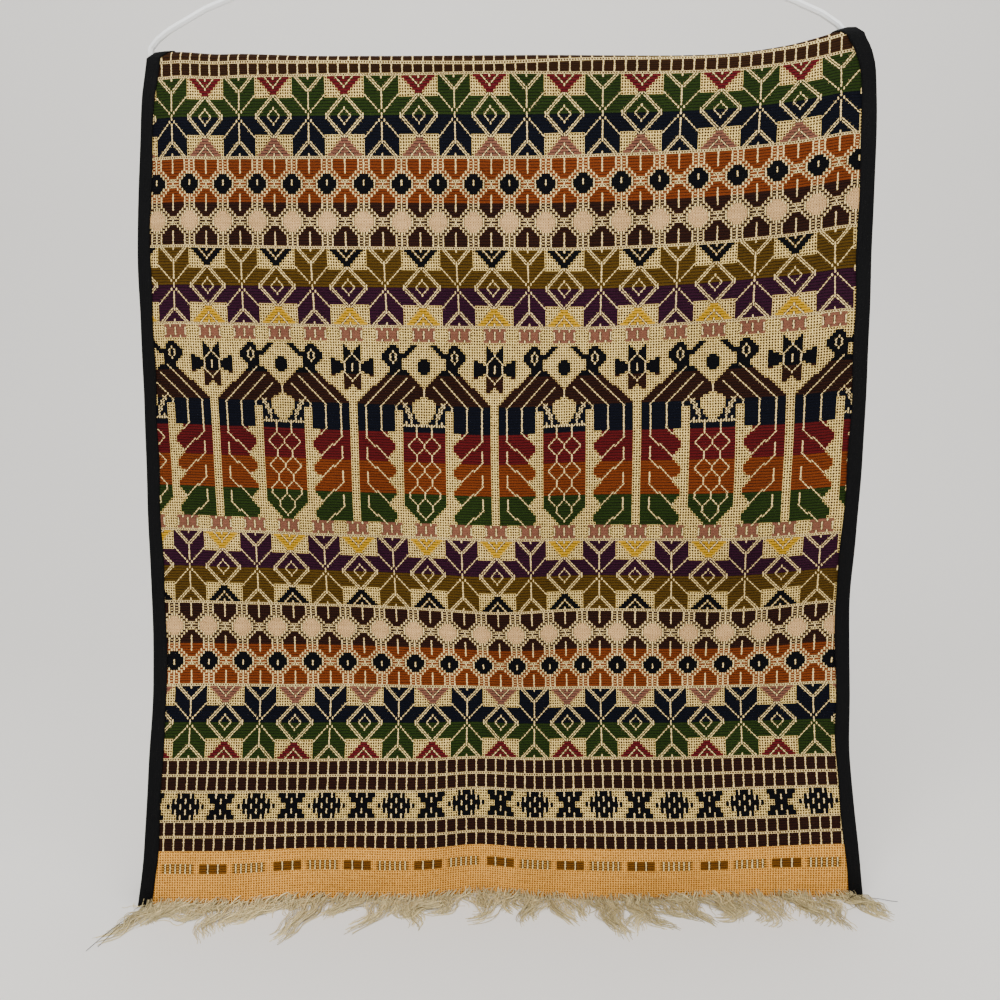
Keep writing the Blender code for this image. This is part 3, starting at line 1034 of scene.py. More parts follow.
class Tree:
    """Short hand for building a node tree."""

    def __init__(self, tree: bpy.types.NodeTree) -> None:
        """Works on a tree that exists."""
        self.tree = tree

    def add(self, kind: str, **settings: object) -> bpy.types.Node:
        """New node with its settings; a setting that is not an attribute is an input.

        Args:
            kind: The node's type.
            settings: Attributes and input defaults by name.

        Returns:
            The node.
        """
        node = self.tree.nodes.new(kind)
        for name, value in settings.items():
            if hasattr(node, name):
                setattr(node, name, value)
            else:
                node.inputs[name].default_value = value
        return node

    def join(self, source: bpy.types.NodeSocket, target: bpy.types.NodeSocket) -> None:
        """Links an output to an input."""
        self.tree.links.new(source, target)

    def math(self, operation: str, *values: object, clamp: bool = False) -> bpy.types.NodeSocket:
        """Math node over sockets and plain numbers.

        Args:
            operation: What it works out.
            values: Its inputs in order.
            clamp: Whether the result stays within 0 and 1.

        Returns:
            The node's output.
        """
        node = self.add("ShaderNodeMath", operation=operation, use_clamp=clamp)
        self.feed(node, values)
        return node.outputs[0]

    def feed(self, node: bpy.types.Node, values: tuple) -> None:
        """Sets or links a node's inputs in order.

        Args:
            node: The node.
            values: A socket or a plain value for each input.
        """
        for socket, value in zip(node.inputs, values):
            if isinstance(value, bpy.types.NodeSocket):
                self.join(value, socket)
            else:
                socket.default_value = value

    def ramp(self, value: bpy.types.NodeSocket, low: float, high: float) -> bpy.types.NodeSocket:
        """Smooth step of a value from low to high.

        Args:
            value: The socket to step.
            low: Value that gives 0.
            high: Value that gives 1.

        Returns:
            The stepped value.
        """
        node = self.add("ShaderNodeMapRange", interpolation_type="SMOOTHSTEP")
        self.join(value, node.inputs["Value"])
        node.inputs["From Min"].default_value = low
        node.inputs["From Max"].default_value = high
        return node.outputs["Result"]

    def mix(self, share: object, first: object, second: object, blend: str = "MIX") -> bpy.types.NodeSocket:
        """Colour mix of two sockets or plain colours.

        Args:
            share: Share of the second colour.
            first: First colour.
            second: Second colour.
            blend: How the two are blended.

        Returns:
            The mixed colour.
        """
        node = self.add("ShaderNodeMix", data_type="RGBA", blend_type=blend)
        for socket, value in ((node.inputs[0], share), (node.inputs[6], first), (node.inputs[7], second)):
            if isinstance(value, bpy.types.NodeSocket):
                self.join(value, socket)
            else:
                socket.default_value = value
        return node.outputs[2]


def new_group(name: str, inputs: tuple, outputs: tuple) -> tuple[Tree, dict, dict]:
    """Shader node group with named sockets.

    Args:
        name: Name of the group.
        inputs: Pairs or triples of name, socket type and default.
        outputs: Pairs of name and socket type.

    Returns:
        The group's tree, its input sockets by name and its output sockets by name.
    """
    group = bpy.data.node_groups.new(name, "ShaderNodeTree")
    for title, kind, *default in inputs:
        socket = group.interface.new_socket(title, in_out="INPUT", socket_type=kind)
        if default:
            socket.default_value = default[0]
    for title, kind in outputs:
        group.interface.new_socket(title, in_out="OUTPUT", socket_type=kind)
    tree = Tree(group)
    source = tree.add("NodeGroupInput")
    target = tree.add("NodeGroupOutput")
    return tree, source.outputs, target.inputs


def woven_cells_group() -> bpy.types.NodeTree:
    """Threads and gaps of a weave, one cell for each unit of its coordinate.

    Gap Size above 0 is the radius of a hole in the middle of the cell. Below 0 it is the
    half width of an upright thread with an open gap on both sides. Lean turns that thread:
    1 runs down to the right and -1 down to the left.

    Returns:
        The group, with outputs for the gap, the row's edge, the twist and the height.
    """
    tree, given, made = new_group(
        "woven_cells",
        (
            ("Cells", "NodeSocketVector"),
            ("Gap Size", "NodeSocketFloat", 0.3),
            ("Relief", "NodeSocketFloat", 0.5),
            ("Lean", "NodeSocketFloat", 0.0),
        ),
        (
            ("Gap", "NodeSocketFloat"),
            ("Row Edge", "NodeSocketFloat"),
            ("Twist", "NodeSocketFloat"),
            ("Height", "NodeSocketFloat"),
        ),
    )
    wobble = tree.add("ShaderNodeTexNoise", Scale=1.2, Detail=1.5)
    tree.join(given["Cells"], wobble.inputs["Vector"])
    centre = tree.add("ShaderNodeVectorMath", operation="SUBTRACT")
    tree.join(wobble.outputs["Color"], centre.inputs[0])
    centre.inputs[1].default_value = (0.5, 0.5, 0.5)
    moved = tree.add("ShaderNodeVectorMath", operation="MULTIPLY_ADD")
    tree.join(centre.outputs[0], moved.inputs[0])
    moved.inputs[1].default_value = (0.65, 0.35, 0.0)
    tree.join(given["Cells"], moved.inputs[2])
    split = tree.add("ShaderNodeSeparateXYZ")
    tree.join(moved.outputs[0], split.inputs[0])
    x, y = (tree.math("SUBTRACT", tree.math("FRACT", split.outputs[k]), 0.5) for k in range(2))
    slanted = tree.math("SUBTRACT", x, tree.math("MULTIPLY", y, given["Lean"]))
    x_squared = tree.math("MULTIPLY", slanted, slanted)
    y_squared = tree.math("MULTIPLY", y, y)
    far = tree.math("SQRT", tree.math("ADD", x_squared, y_squared))
    # Gap is the mask of the holes and open gaps, which the cloth paints with its colour between
    hole = tree.math("SUBTRACT", 1.0, tree.ramp(tree.math("SUBTRACT", far, given["Gap Size"]), -0.1, 0.08))
    hole = tree.math("MULTIPLY", hole, tree.math("GREATER_THAN", given["Gap Size"], 0.01))
    pinch = tree.math("SQRT", tree.math("MULTIPLY_ADD", y_squared, 0.16, x_squared))
    beside = tree.ramp(tree.math("ADD", pinch, given["Gap Size"]), -0.06, 0.08)
    beside = tree.math("MULTIPLY", beside, tree.math("LESS_THAN", given["Gap Size"], -0.01))
    gap = tree.math("ADD", hole, beside, clamp=True)
    # Row Edge is the mask for the painted shade where the weft rows meet; it also rounds the thread's bump
    row_edge = tree.ramp(tree.math("ABSOLUTE", y), 0.26, 0.5)
    # Twist is the mask for the painted light and shade along the ply of each thread
    ply = tree.math("FRACT", tree.math("MULTIPLY_ADD", y, 2.0, tree.math("MULTIPLY", x, 1.4)))
    twist = tree.math("ABSOLUTE", tree.math("SUBTRACT", ply, 0.5))
    tree.join(gap, made["Gap"])
    tree.join(row_edge, made["Row Edge"])
    tree.join(twist, made["Twist"])
    crown = tree.math("MULTIPLY", row_edge, -0.4)
    round_thread = tree.math("MULTIPLY_ADD", x_squared, -1.2, crown)
    sunk = tree.math("MULTIPLY_ADD", gap, -0.8, round_thread)
    tree.join(tree.math("ADD", sunk, given["Relief"]), made["Height"])
    return tree.tree


def yarn_mottle_group() -> bpy.types.NodeTree:
    """Uneven dye and dust of spun yarn, in patches and in streaks along the threads.

    Returns:
        The group, with outputs for the colour and its fine fuzz.
    """
    tree, given, made = new_group(
        "yarn_mottle",
        (
            ("Colour", "NodeSocketColor"),
            ("Place", "NodeSocketVector"),
            ("Streak Place", "NodeSocketVector"),
            ("Amount", "NodeSocketFloat", 0.3),
        ),
        (("Colour", "NodeSocketColor"), ("Fuzz", "NodeSocketFloat")),
    )
    patch = tree.add("ShaderNodeTexNoise", Scale=18.0, Detail=3.0)
    tree.join(given["Place"], patch.inputs["Vector"])
    streak = tree.add("ShaderNodeTexNoise", Scale=1.0, Detail=2.0)
    tree.join(given["Streak Place"], streak.inputs["Vector"])
    fuzz = tree.add("ShaderNodeTexNoise", Scale=1400.0, Detail=2.0)
    tree.join(given["Place"], fuzz.inputs["Vector"])
    both = tree.math("ADD", patch.outputs[0], streak.outputs[0])
    all_three = tree.math("ADD", both, fuzz.outputs[0])
    centred = tree.math("SUBTRACT", all_three, 1.5)
    swing = tree.math("MULTIPLY", centred, given["Amount"])
    gain = tree.math("ADD", swing, 1.0)
    scaled = tree.add("ShaderNodeVectorMath", operation="SCALE")
    tree.join(given["Colour"], scaled.inputs[0])
    tree.join(gain, scaled.inputs["Scale"])
    tree.join(scaled.outputs[0], made["Colour"])
    tree.join(fuzz.outputs[0], made["Fuzz"])
    return tree.tree


def start_material(name: str) -> tuple[Tree, bpy.types.Node, bpy.types.Material]:
    """Empty material with its Principled shader and output.

    Args:
        name: Name of the finish.

    Returns:
        The material's tree, its shader and the material.
    """
    material = bpy.data.materials.new(name)
    material.use_nodes = True
    material.node_tree.nodes.clear()
    tree = Tree(material.node_tree)
    shader = tree.add("ShaderNodeBsdfPrincipled")
    output = tree.add("ShaderNodeOutputMaterial")
    tree.join(shader.outputs[0], output.inputs[0])
    return tree, shader, material


@dataclass(frozen=True)
class ClothFinish:
    """Cotton brocade: threads, gaps, raised figures, uneven dye, with painted shade in the holes and where
    the rows meet, and painted light and shade along the ply twist.
    """

    name: str = "brocaded_cotton"
    roughness: float = 0.92
    mottle: float = 0.55
    relief_mm: float = 0.4

    def material(self, groups: dict) -> bpy.types.Material:
        """Builds the material.

        Args:
            groups: The shader node groups by name.

        Returns:
            The material.
        """
        tree, shader, material = start_material(self.name)
        cells = tree.add("ShaderNodeUVMap", uv_map="cells")
        thread = tree.add("ShaderNodeAttribute", attribute_name="thread")
        between = tree.add("ShaderNodeAttribute", attribute_name="between")
        weave = tree.add("ShaderNodeGroup", node_tree=groups["woven_cells"])
        tree.join(cells.outputs[0], weave.inputs["Cells"])
        tree.join(between.outputs["Alpha"], weave.inputs["Gap Size"])
        tree.join(thread.outputs["Alpha"], weave.inputs["Relief"])
        lean = tree.add("ShaderNodeAttribute", attribute_name="lean")
        tree.join(lean.outputs["Fac"], weave.inputs["Lean"])
        # Painted shade where the weft rows meet: each cell darkens towards its colour between at the upper
        # and lower edges of its row
        row_edge = weave.outputs["Row Edge"]
        open_weave = tree.math("GREATER_THAN", tree.math("ABSOLUTE", between.outputs["Alpha"]), 0.01)
        dark = tree.math("MULTIPLY", row_edge, tree.math("MULTIPLY_ADD", open_weave, -0.6, 0.85))
        row_edge_shade = tree.mix(dark, thread.outputs["Color"], between.outputs["Color"])
        # Painted light and shade across each thread along its ply twist
        ply_twist_shade = tree.math("MULTIPLY_ADD", weave.outputs["Twist"], -0.5, 1.08)
        lit = tree.mix(1.0, row_edge_shade, ply_twist_shade, blend="MULTIPLY")
        # Holes and open gaps show the colour between: painted shade where that colour is darker, pattern
        # beside the pale lines
        shown = tree.mix(weave.outputs["Gap"], lit, between.outputs["Color"])
        place = tree.add("ShaderNodeTexCoord")
        streak = tree.add("ShaderNodeMapping")
        streak.inputs["Scale"].default_value = (0.07, 1.0, 1.0)
        tree.join(cells.outputs[0], streak.inputs["Vector"])
        mottle = tree.add("ShaderNodeGroup", node_tree=groups["yarn_mottle"])
        mottle.inputs["Amount"].default_value = self.mottle
        tree.join(shown, mottle.inputs["Colour"])
        tree.join(place.outputs["Object"], mottle.inputs["Place"])
        tree.join(streak.outputs[0], mottle.inputs["Streak Place"])
        tree.join(mottle.outputs["Colour"], shader.inputs["Base Color"])
        bump = tree.add("ShaderNodeBump", Strength=0.9, Distance=self.relief_mm * MM)
        tree.join(weave.outputs["Height"], bump.inputs["Height"])
        tree.join(bump.outputs[0], shader.inputs["Normal"])
        shader.inputs["Roughness"].default_value = self.roughness
        shader.inputs["Specular IOR Level"].default_value = 0.08
        return material


@dataclass(frozen=True)
class TapeFinish:
    """Black twill tape with fine ribs across it."""

    name: str = "black_tape"
    colour: str = "060607"
    roughness: float = 0.85
    rib_mm: float = 0.9

    def material(self, groups: dict) -> bpy.types.Material:
        """Builds the material from the shader node groups.

        Args:
            groups: The shader node groups by name.

        Returns:
            The material.
        """
        tree, shader, material = start_material(self.name)
        cells = tree.add("ShaderNodeUVMap", uv_map="cells")
        weave = tree.add("ShaderNodeGroup", node_tree=groups["woven_cells"])
        weave.inputs["Gap Size"].default_value = 0.2
        tree.join(cells.outputs[0], weave.inputs["Cells"])
        place = tree.add("ShaderNodeTexCoord")
        mottle = tree.add("ShaderNodeGroup", node_tree=groups["yarn_mottle"])
        mottle.inputs["Amount"].default_value = 0.8
        mottle.inputs["Colour"].default_value = (*srgb(self.colour), 1.0)
        tree.join(place.outputs["Object"], mottle.inputs["Place"])
        tree.join(cells.outputs[0], mottle.inputs["Streak Place"])
        tree.join(mottle.outputs["Colour"], shader.inputs["Base Color"])
        bump = tree.add("ShaderNodeBump", Strength=0.9, Distance=0.3 * MM)
        tree.join(weave.outputs["Height"], bump.inputs["Height"])
        tree.join(bump.outputs[0], shader.inputs["Normal"])
        shader.inputs["Roughness"].default_value = self.roughness
        shader.inputs["Specular IOR Level"].default_value = 0.12
        return material


@dataclass(frozen=True)
class FringeFinish:
    """Undyed warp cotton, a little grey with dust."""

    name: str
    colour: str = "e6d39e"
    roughness: float = 0.9

    def material(self, groups: dict) -> bpy.types.Material:
        """Builds the material from the shader node groups.

        Args:
            groups: The shader node groups by name.

        Returns:
            The material.
        """
        tree, shader, material = start_material(self.name)
        place = tree.add("ShaderNodeTexCoord")
        tone = tree.add("ShaderNodeAttribute", attribute_name="tone")
        mottle = tree.add("ShaderNodeGroup", node_tree=groups["yarn_mottle"])
        mottle.inputs["Amount"].default_value = 0.5
        base = srgb(self.colour)
        deep = tuple(0.36 * value for value in base)
        shade = tree.mix(tone.outputs["Fac"], (*deep, 1.0), (*base, 1.0))
        tree.join(shade, mottle.inputs["Colour"])
        tree.join(place.outputs["Object"], mottle.inputs["Place"])
        tree.join(place.outputs["Object"], mottle.inputs["Streak Place"])
        tree.join(mottle.outputs["Colour"], shader.inputs["Base Color"])
        bump = tree.add("ShaderNodeBump", Strength=0.5, Distance=0.1 * MM)
        tree.join(mottle.outputs["Fuzz"], bump.inputs["Height"])
        tree.join(bump.outputs[0], shader.inputs["Normal"])
        shader.inputs["Roughness"].default_value = self.roughness
        shader.inputs["Specular IOR Level"].default_value = 0.15
        return material


@dataclass(frozen=True)
class WireFinish:
    """White soft plastic skin over steel wire, faintly uneven and yellowed."""

    name: str = "white_coating"
    colour: str = "f8f9f8"
    roughness: float = 0.3

    def material(self) -> bpy.types.Material:
        """Builds the material.

        Returns:
            The material.
        """
        tree, shader, material = start_material(self.name)
        place = tree.add("ShaderNodeTexCoord")
        grime = tree.add("ShaderNodeTexNoise", Scale=60.0, Detail=4.0)
        tree.join(place.outputs["Object"], grime.inputs["Vector"])
        clean = (*srgb(self.colour), 1.0)
        aged = (*srgb("e9e6da"), 1.0)
        worn = tree.ramp(grime.outputs[0], 0.5, 0.75)
        tree.join(tree.mix(worn, clean, aged), shader.inputs["Base Color"])
        rough = tree.math("MULTIPLY_ADD", grime.outputs[0], 0.25, self.roughness - 0.1)
        tree.join(rough, shader.inputs["Roughness"])
        ripple = tree.add("ShaderNodeTexNoise", Scale=220.0, Detail=1.0)
        tree.join(place.outputs["Object"], ripple.inputs["Vector"])
        bump = tree.add("ShaderNodeBump", Strength=0.25, Distance=0.1 * MM)
        tree.join(ripple.outputs[0], bump.inputs["Height"])
        tree.join(bump.outputs[0], shader.inputs["Normal"])
        shader.inputs["Coat Weight"].default_value = 0.3
        shader.inputs["Coat Roughness"].default_value = 0.15
        return material


def mesh_object(
    name: str, points: np.ndarray, faces: list, material: bpy.types.Material
) -> bpy.types.Object:
    """Object in the scene from points in millimetres and faces.

    Args:
        name: Name of the piece.
        points: One row of x, y, z for each vertex.
        faces: Vertex numbers of each face.
        material: The piece's finish.

    Returns:
        The object, shaded smooth.
    """
    mesh = bpy.data.meshes.new(name)
    mesh.from_pydata((points * MM).tolist(), [], faces)
    mesh.materials.append(material)
    mesh.polygons.foreach_set("use_smooth", [True] * len(mesh.polygons))
    piece = bpy.data.objects.new(name, mesh)
    bpy.context.scene.collection.objects.link(piece)
    return piece


@dataclass
class BrocadeCloth:
    """The cloth itself: a front and a back sheet that meet at the top of the fold."""

    drape: Drape
    chart: Chart
    lattice: Lattice
    finish: ClothFinish
    lift_mm: float = CLOTH_THICKNESS / 2

    def build(self, groups: dict) -> list[bpy.types.Object]:
        """Both sheets, with one face for each cell of the chart.

        Args:
            groups: The shader node groups by name.

        Returns:
            The front sheet and the back sheet.
        """
        material = self.finish.material(groups)
        sheets = []
        for name, front in (("cloth_front", True), ("cloth_back", False)):
            sheet = self.sheet(name, front, material)
            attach(sheet, BODY)
            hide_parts("cloth")
            sheets.append(sheet)
        return sheets

    def sheet(self, name: str, front: bool, material: bpy.types.Material) -> bpy.types.Object:
        """One half of the cloth.

        Args:
            name: Name of the piece.
            front: Which half.
            material: The cloth's finish.

        Returns:
            The sheet.
        """
        x, grid_s = self.lattice.corners(front)
        v = np.clip(self.drape.share(x, grid_s), 0.0, 1.0)
        points = self.drape.at(v, grid_s) + self.drape.outward(v, grid_s) * self.lift_mm
        points[..., 2] = np.maximum(points[..., 2], FLOOR)
        corners, kept = self.cells(v, grid_s)
        if not front:
            corners = corners[..., ::-1]
        return self.weave(name, points, corners, kept, material)

    def cells(self, v: np.ndarray, s: np.ndarray) -> tuple[np.ndarray, np.ndarray]:
        """Cells that lie between the cut edges and between the fold and the hem.

        Args:
            v: Places across of all corners.
            s: Distances from the fold of all corners.

        Returns:
            Corner numbers of all cells, and which cells are kept.
        """
        height, width = v.shape
        number = np.arange(height * width).reshape(height, width)
        corners = np.stack([number[:-1, :-1], number[:-1, 1:], number[1:, 1:], number[1:, :-1]], axis=-1)
        wide = np.maximum(v[:-1, 1:] - v[:-1, :-1], v[1:, 1:] - v[1:, :-1])
        drop = np.abs(s)
        tall = np.maximum(drop[1:, :-1] - drop[:-1, :-1], drop[1:, 1:] - drop[:-1, 1:])
        return corners, (wide > 1e-5) & (tall > 1e-3)

    def weave(
        self,
        name: str,
        points: np.ndarray,
        corners: np.ndarray,
        kept: np.ndarray,
        material: bpy.types.Material,
    ) -> bpy.types.Object:
        """Mesh of the kept cells, each with its thread and gap colours.

        Args:
            name: Name of the piece.
            points: Corners by row and column.
            corners: Corner numbers of every cell.
            kept: Which cells are built.
            material: The cloth's finish.

        Returns:
            The sheet.
        """
        width = points.shape[1]
        faces = corners[kept]
        used, packed = np.unique(faces, return_inverse=True)
        packed = packed.reshape(faces.shape)
        piece = mesh_object(name, points.reshape(-1, 3)[used], packed.tolist(), material)
        mesh = piece.data
        uv = mesh.uv_layers.new(name="cells")
        row_number = used // width
        column_number = used % width
        loops = packed.reshape(-1)
        flat = np.stack([column_number[loops], row_number[loops]], axis=-1).astype(np.float32)
        uv.data.foreach_set("uv", flat.ravel())
        self.colour_cells(mesh, kept)
        mesh.validate()
        return piece

    def colour_cells(self, mesh: bpy.types.Mesh, kept: np.ndarray) -> None:
        """Writes each cell's thread and gap colours as face attributes.

        Args:
            mesh: Mesh with one face for each kept cell.
            kept: Which cells are built.
        """
        marks = self.chart.marks[kept]
        dyes = self.chart.dyes[kept]
        linear = {dye: srgb(dye.value) for dye in Dye}
        thread = np.zeros((len(marks), 4), np.float32)
        between = np.zeros((len(marks), 4), np.float32)
        for k, (mark, dye) in enumerate(zip(marks, dyes)):
            top, gap, size, relief = MARK_LOOKS[Mark(int(mark))]
            thread[k] = (*linear[top or dye], relief)
            between[k] = (*linear[gap or dye], size)
        beside_eye = self.chart.beside(Mark.LINE, Mark.EYE)[kept]
        between[beside_eye, :3] = linear[Dye.BLACK]
        for title, values in (("thread", thread), ("between", between)):
            attribute = mesh.attributes.new(title, "FLOAT_COLOR", "FACE")
            attribute.data.foreach_set("color", values.ravel())
        lean = mesh.attributes.new("lean", "FLOAT", "FACE")
        lean.data.foreach_set("value", self.chart.leans()[kept].astype(np.float32))


@dataclass
class EdgeBinding:
    """Black tape folded round one long edge, from hem to hem over the fold."""

    drape: Drape
    side: int
    finish: TapeFinish
    steps: int = 330
    cover: float = 0.0155

    def build(self, groups: dict) -> bpy.types.Object:
        """The tape as a closed strip.

        Args:
            groups: The shader node groups by name.

        Returns:
            The tape.
        """
        name = "binding_right" if self.side else "binding_left"
        limit = ARC_LENGTH + HEM_DROP
        back = np.linspace(-limit, -0.4, self.steps // 2)
        front = np.linspace(0.4, limit, self.steps // 2)
        rings = []
        for part in (back, front):
            rings.extend(self.rings(part))
        count = len(rings[0])
        points = np.concatenate(rings)
        faces = []
        for row in range(len(rings) - 1):
            for k in range(count):
                a, b = row * count + k, row * count + (k + 1) % count
                faces.append((a, b, b + count, a + count))
        faces.append(tuple(range(count))[::-1])
        last = (len(rings) - 1) * count
        faces.append(tuple(range(last, last + count)))
        piece = mesh_object(name + "_tape", points, faces, self.finish.material(groups))
        shell = bmesh.new()
        shell.from_mesh(piece.data)
        bmesh.ops.recalc_face_normals(shell, faces=shell.faces)
        shell.to_mesh(piece.data)
        shell.free()
        self.lay_cells(piece.data, count, len(rings))
        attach(piece, BODY)
        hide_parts(name)
        return piece

    def section(self) -> list[tuple[float, float, float]]:
        """Closed outline of the folded tape: place in, distance out, height off the cloth.

        Returns:
            Corners of the outline in order.
        """
        inner = CLOTH_THICKNESS / 2 + TAPE_GAP
        outer = inner + TAPE_THICKNESS
        cover = self.cover
        face = (
            (cover, outer - 0.15),
            (cover * 0.75, outer),
            (cover * 0.4, outer),
            (0.0, outer),
        )
        outline = [(depth, 0.0, height) for depth, height in face]
        for k in range(1, 8):
            angle = math.pi * k / 8
            outline.append((0.0, TAPE_WALL * math.sin(angle) ** 0.7, outer * math.cos(angle)))
        outline.extend((depth, 0.0, -height) for depth, height in reversed(face))
        for depth in (cover, cover * 0.5, 0.0):
            outline.append((depth, 0.0, -inner))
        outline.append((0.0, TAPE_WALL - TAPE_THICKNESS, 0.0))
        for depth in (0.0, cover * 0.5, cover):
            outline.append((depth, 0.0, inner))
        return outline

    def rings(self, s: np.ndarray) -> list[np.ndarray]:
        """The section placed at each distance along one half.

        Args:
            s: Distances along the cloth, all on one half.

        Returns:
            The corners of the section at each distance.
        """
        placed = []
        for inside, outward, height in self.section():
            depth = np.full(s.shape, inside) * (1 + 0.05 * np.sin(s / 9.0 + self.side))
            v = 1 - depth if self.side else depth
            near = self.drape.at(v, s)
            inward = self.drape.at(v + (0.004 - 0.008 * self.side), s)
            out = near - inward
            out = out / np.linalg.norm(out, axis=-1, keepdims=True)
            normal = self.drape.outward(np.clip(v, 0.0, 1.0), s)
            normal = normal - out * np.sum(normal * out, axis=-1, keepdims=True)
            normal = normal / np.linalg.norm(normal, axis=-1, keepdims=True)
            placed.append(near + out * outward + normal * height)
        rings = np.stack(placed, axis=1)
        rings[..., 2] = np.maximum(rings[..., 2], FLOOR + 0.3)
        return list(rings)

    def lay_cells(self, mesh: bpy.types.Mesh, count: int, rows: int) -> None:
        """Weave coordinates along and round the tape.

        Args:
            mesh: The tape's mesh.
            count: Corners in each section.
            rows: Sections along the tape.
        """
        uv = mesh.uv_layers.new(name="cells")
        index = np.empty(len(mesh.loops), np.int32)
        mesh.loops.foreach_get("vertex_index", index)
        length = 2 * (ARC_LENGTH + HEM_DROP) / self.finish.rib_mm
        flat = np.stack([(index % count) * 1.0, (index // count) * length / rows], axis=-1)
        uv.data.foreach_set("uv", flat.astype(np.float32).ravel())


# Lean of the warp ends from straight ahead, in degrees to the right, by place across the hem
LEANS = (
    (0.0, -20.0),
    (0.05, -36.0),
    (0.2, -30.0),
    (0.35, -20.0),
    (0.5, -6.0),
    (0.65, 12.0),
    (0.8, 18.0),
    (0.95, 34.0),
    (1.0, 44.0),
)


class YarnBundle:
    """Many fine yarns gathered in one mesh, each a thin tube with a tone of its own."""

    def __init__(self, sides: int = 3) -> None:
        """Starts empty."""
        self.sides = sides
        self.points: list[np.ndarray] = []
        self.faces: list[tuple] = []
        self.tones: list[float] = []
        self.count = 0

    def add(self, line: np.ndarray, radius: float, tone: float) -> None:
        """Thin tube round a centre line, closed at both ends.

        Args:
            line: Points of the centre line in millimetres.
            radius: Radius at the root; the tip is thinner.
            tone: Lightness of this yarn, 0 to 1.
        """
        n, start = self.sides, self.count
        direction = np.gradient(line, axis=0)
        direction /= np.maximum(np.linalg.norm(direction, axis=1, keepdims=True), 1e-6)
        side = np.cross(direction, (0.0, 0.0, 1.0))
        side /= np.maximum(np.linalg.norm(side, axis=1, keepdims=True), 1e-6)
        up = np.cross(side, direction)
        taper = radius * np.linspace(1.0, 0.7, len(line))[:, None]
        angles = [math.tau * (k + 0.5) / n for k in range(n)]
        ring = [line + (side * math.cos(a) + up * math.sin(a)) * taper for a in angles]
        rings = np.stack(ring, axis=1)
        rings[..., 2] = np.maximum(rings[..., 2], FLOOR + 0.05)
        self.points.append(rings.reshape(-1, 3))
        for row in range(len(line) - 1):
            for k in range(n):
                a, b = start + row * n + k, start + row * n + (k + 1) % n
                self.faces.append((a, b, b + n, a + n))
        self.faces.append(tuple(start + k for k in range(n))[::-1])
        last = start + (len(line) - 1) * n
        self.faces.append(tuple(last + k for k in range(n)))
        self.tones.extend([tone] * (len(line) * n))
        self.count += len(line) * n

    def piece(self, name: str, material: bpy.types.Material) -> bpy.types.Object:
        """The bundle as one object, with each yarn's tone as an attribute.

        Args:
            name: Name of the piece.
            material: The yarn's finish.

        Returns:
            The object.
        """
        piece = mesh_object(name, np.concatenate(self.points), self.faces, material)
        tone = piece.data.attributes.new("tone", "FLOAT", "POINT")
        tone.data.foreach_set("value", np.array(self.tones, np.float32))
        return piece


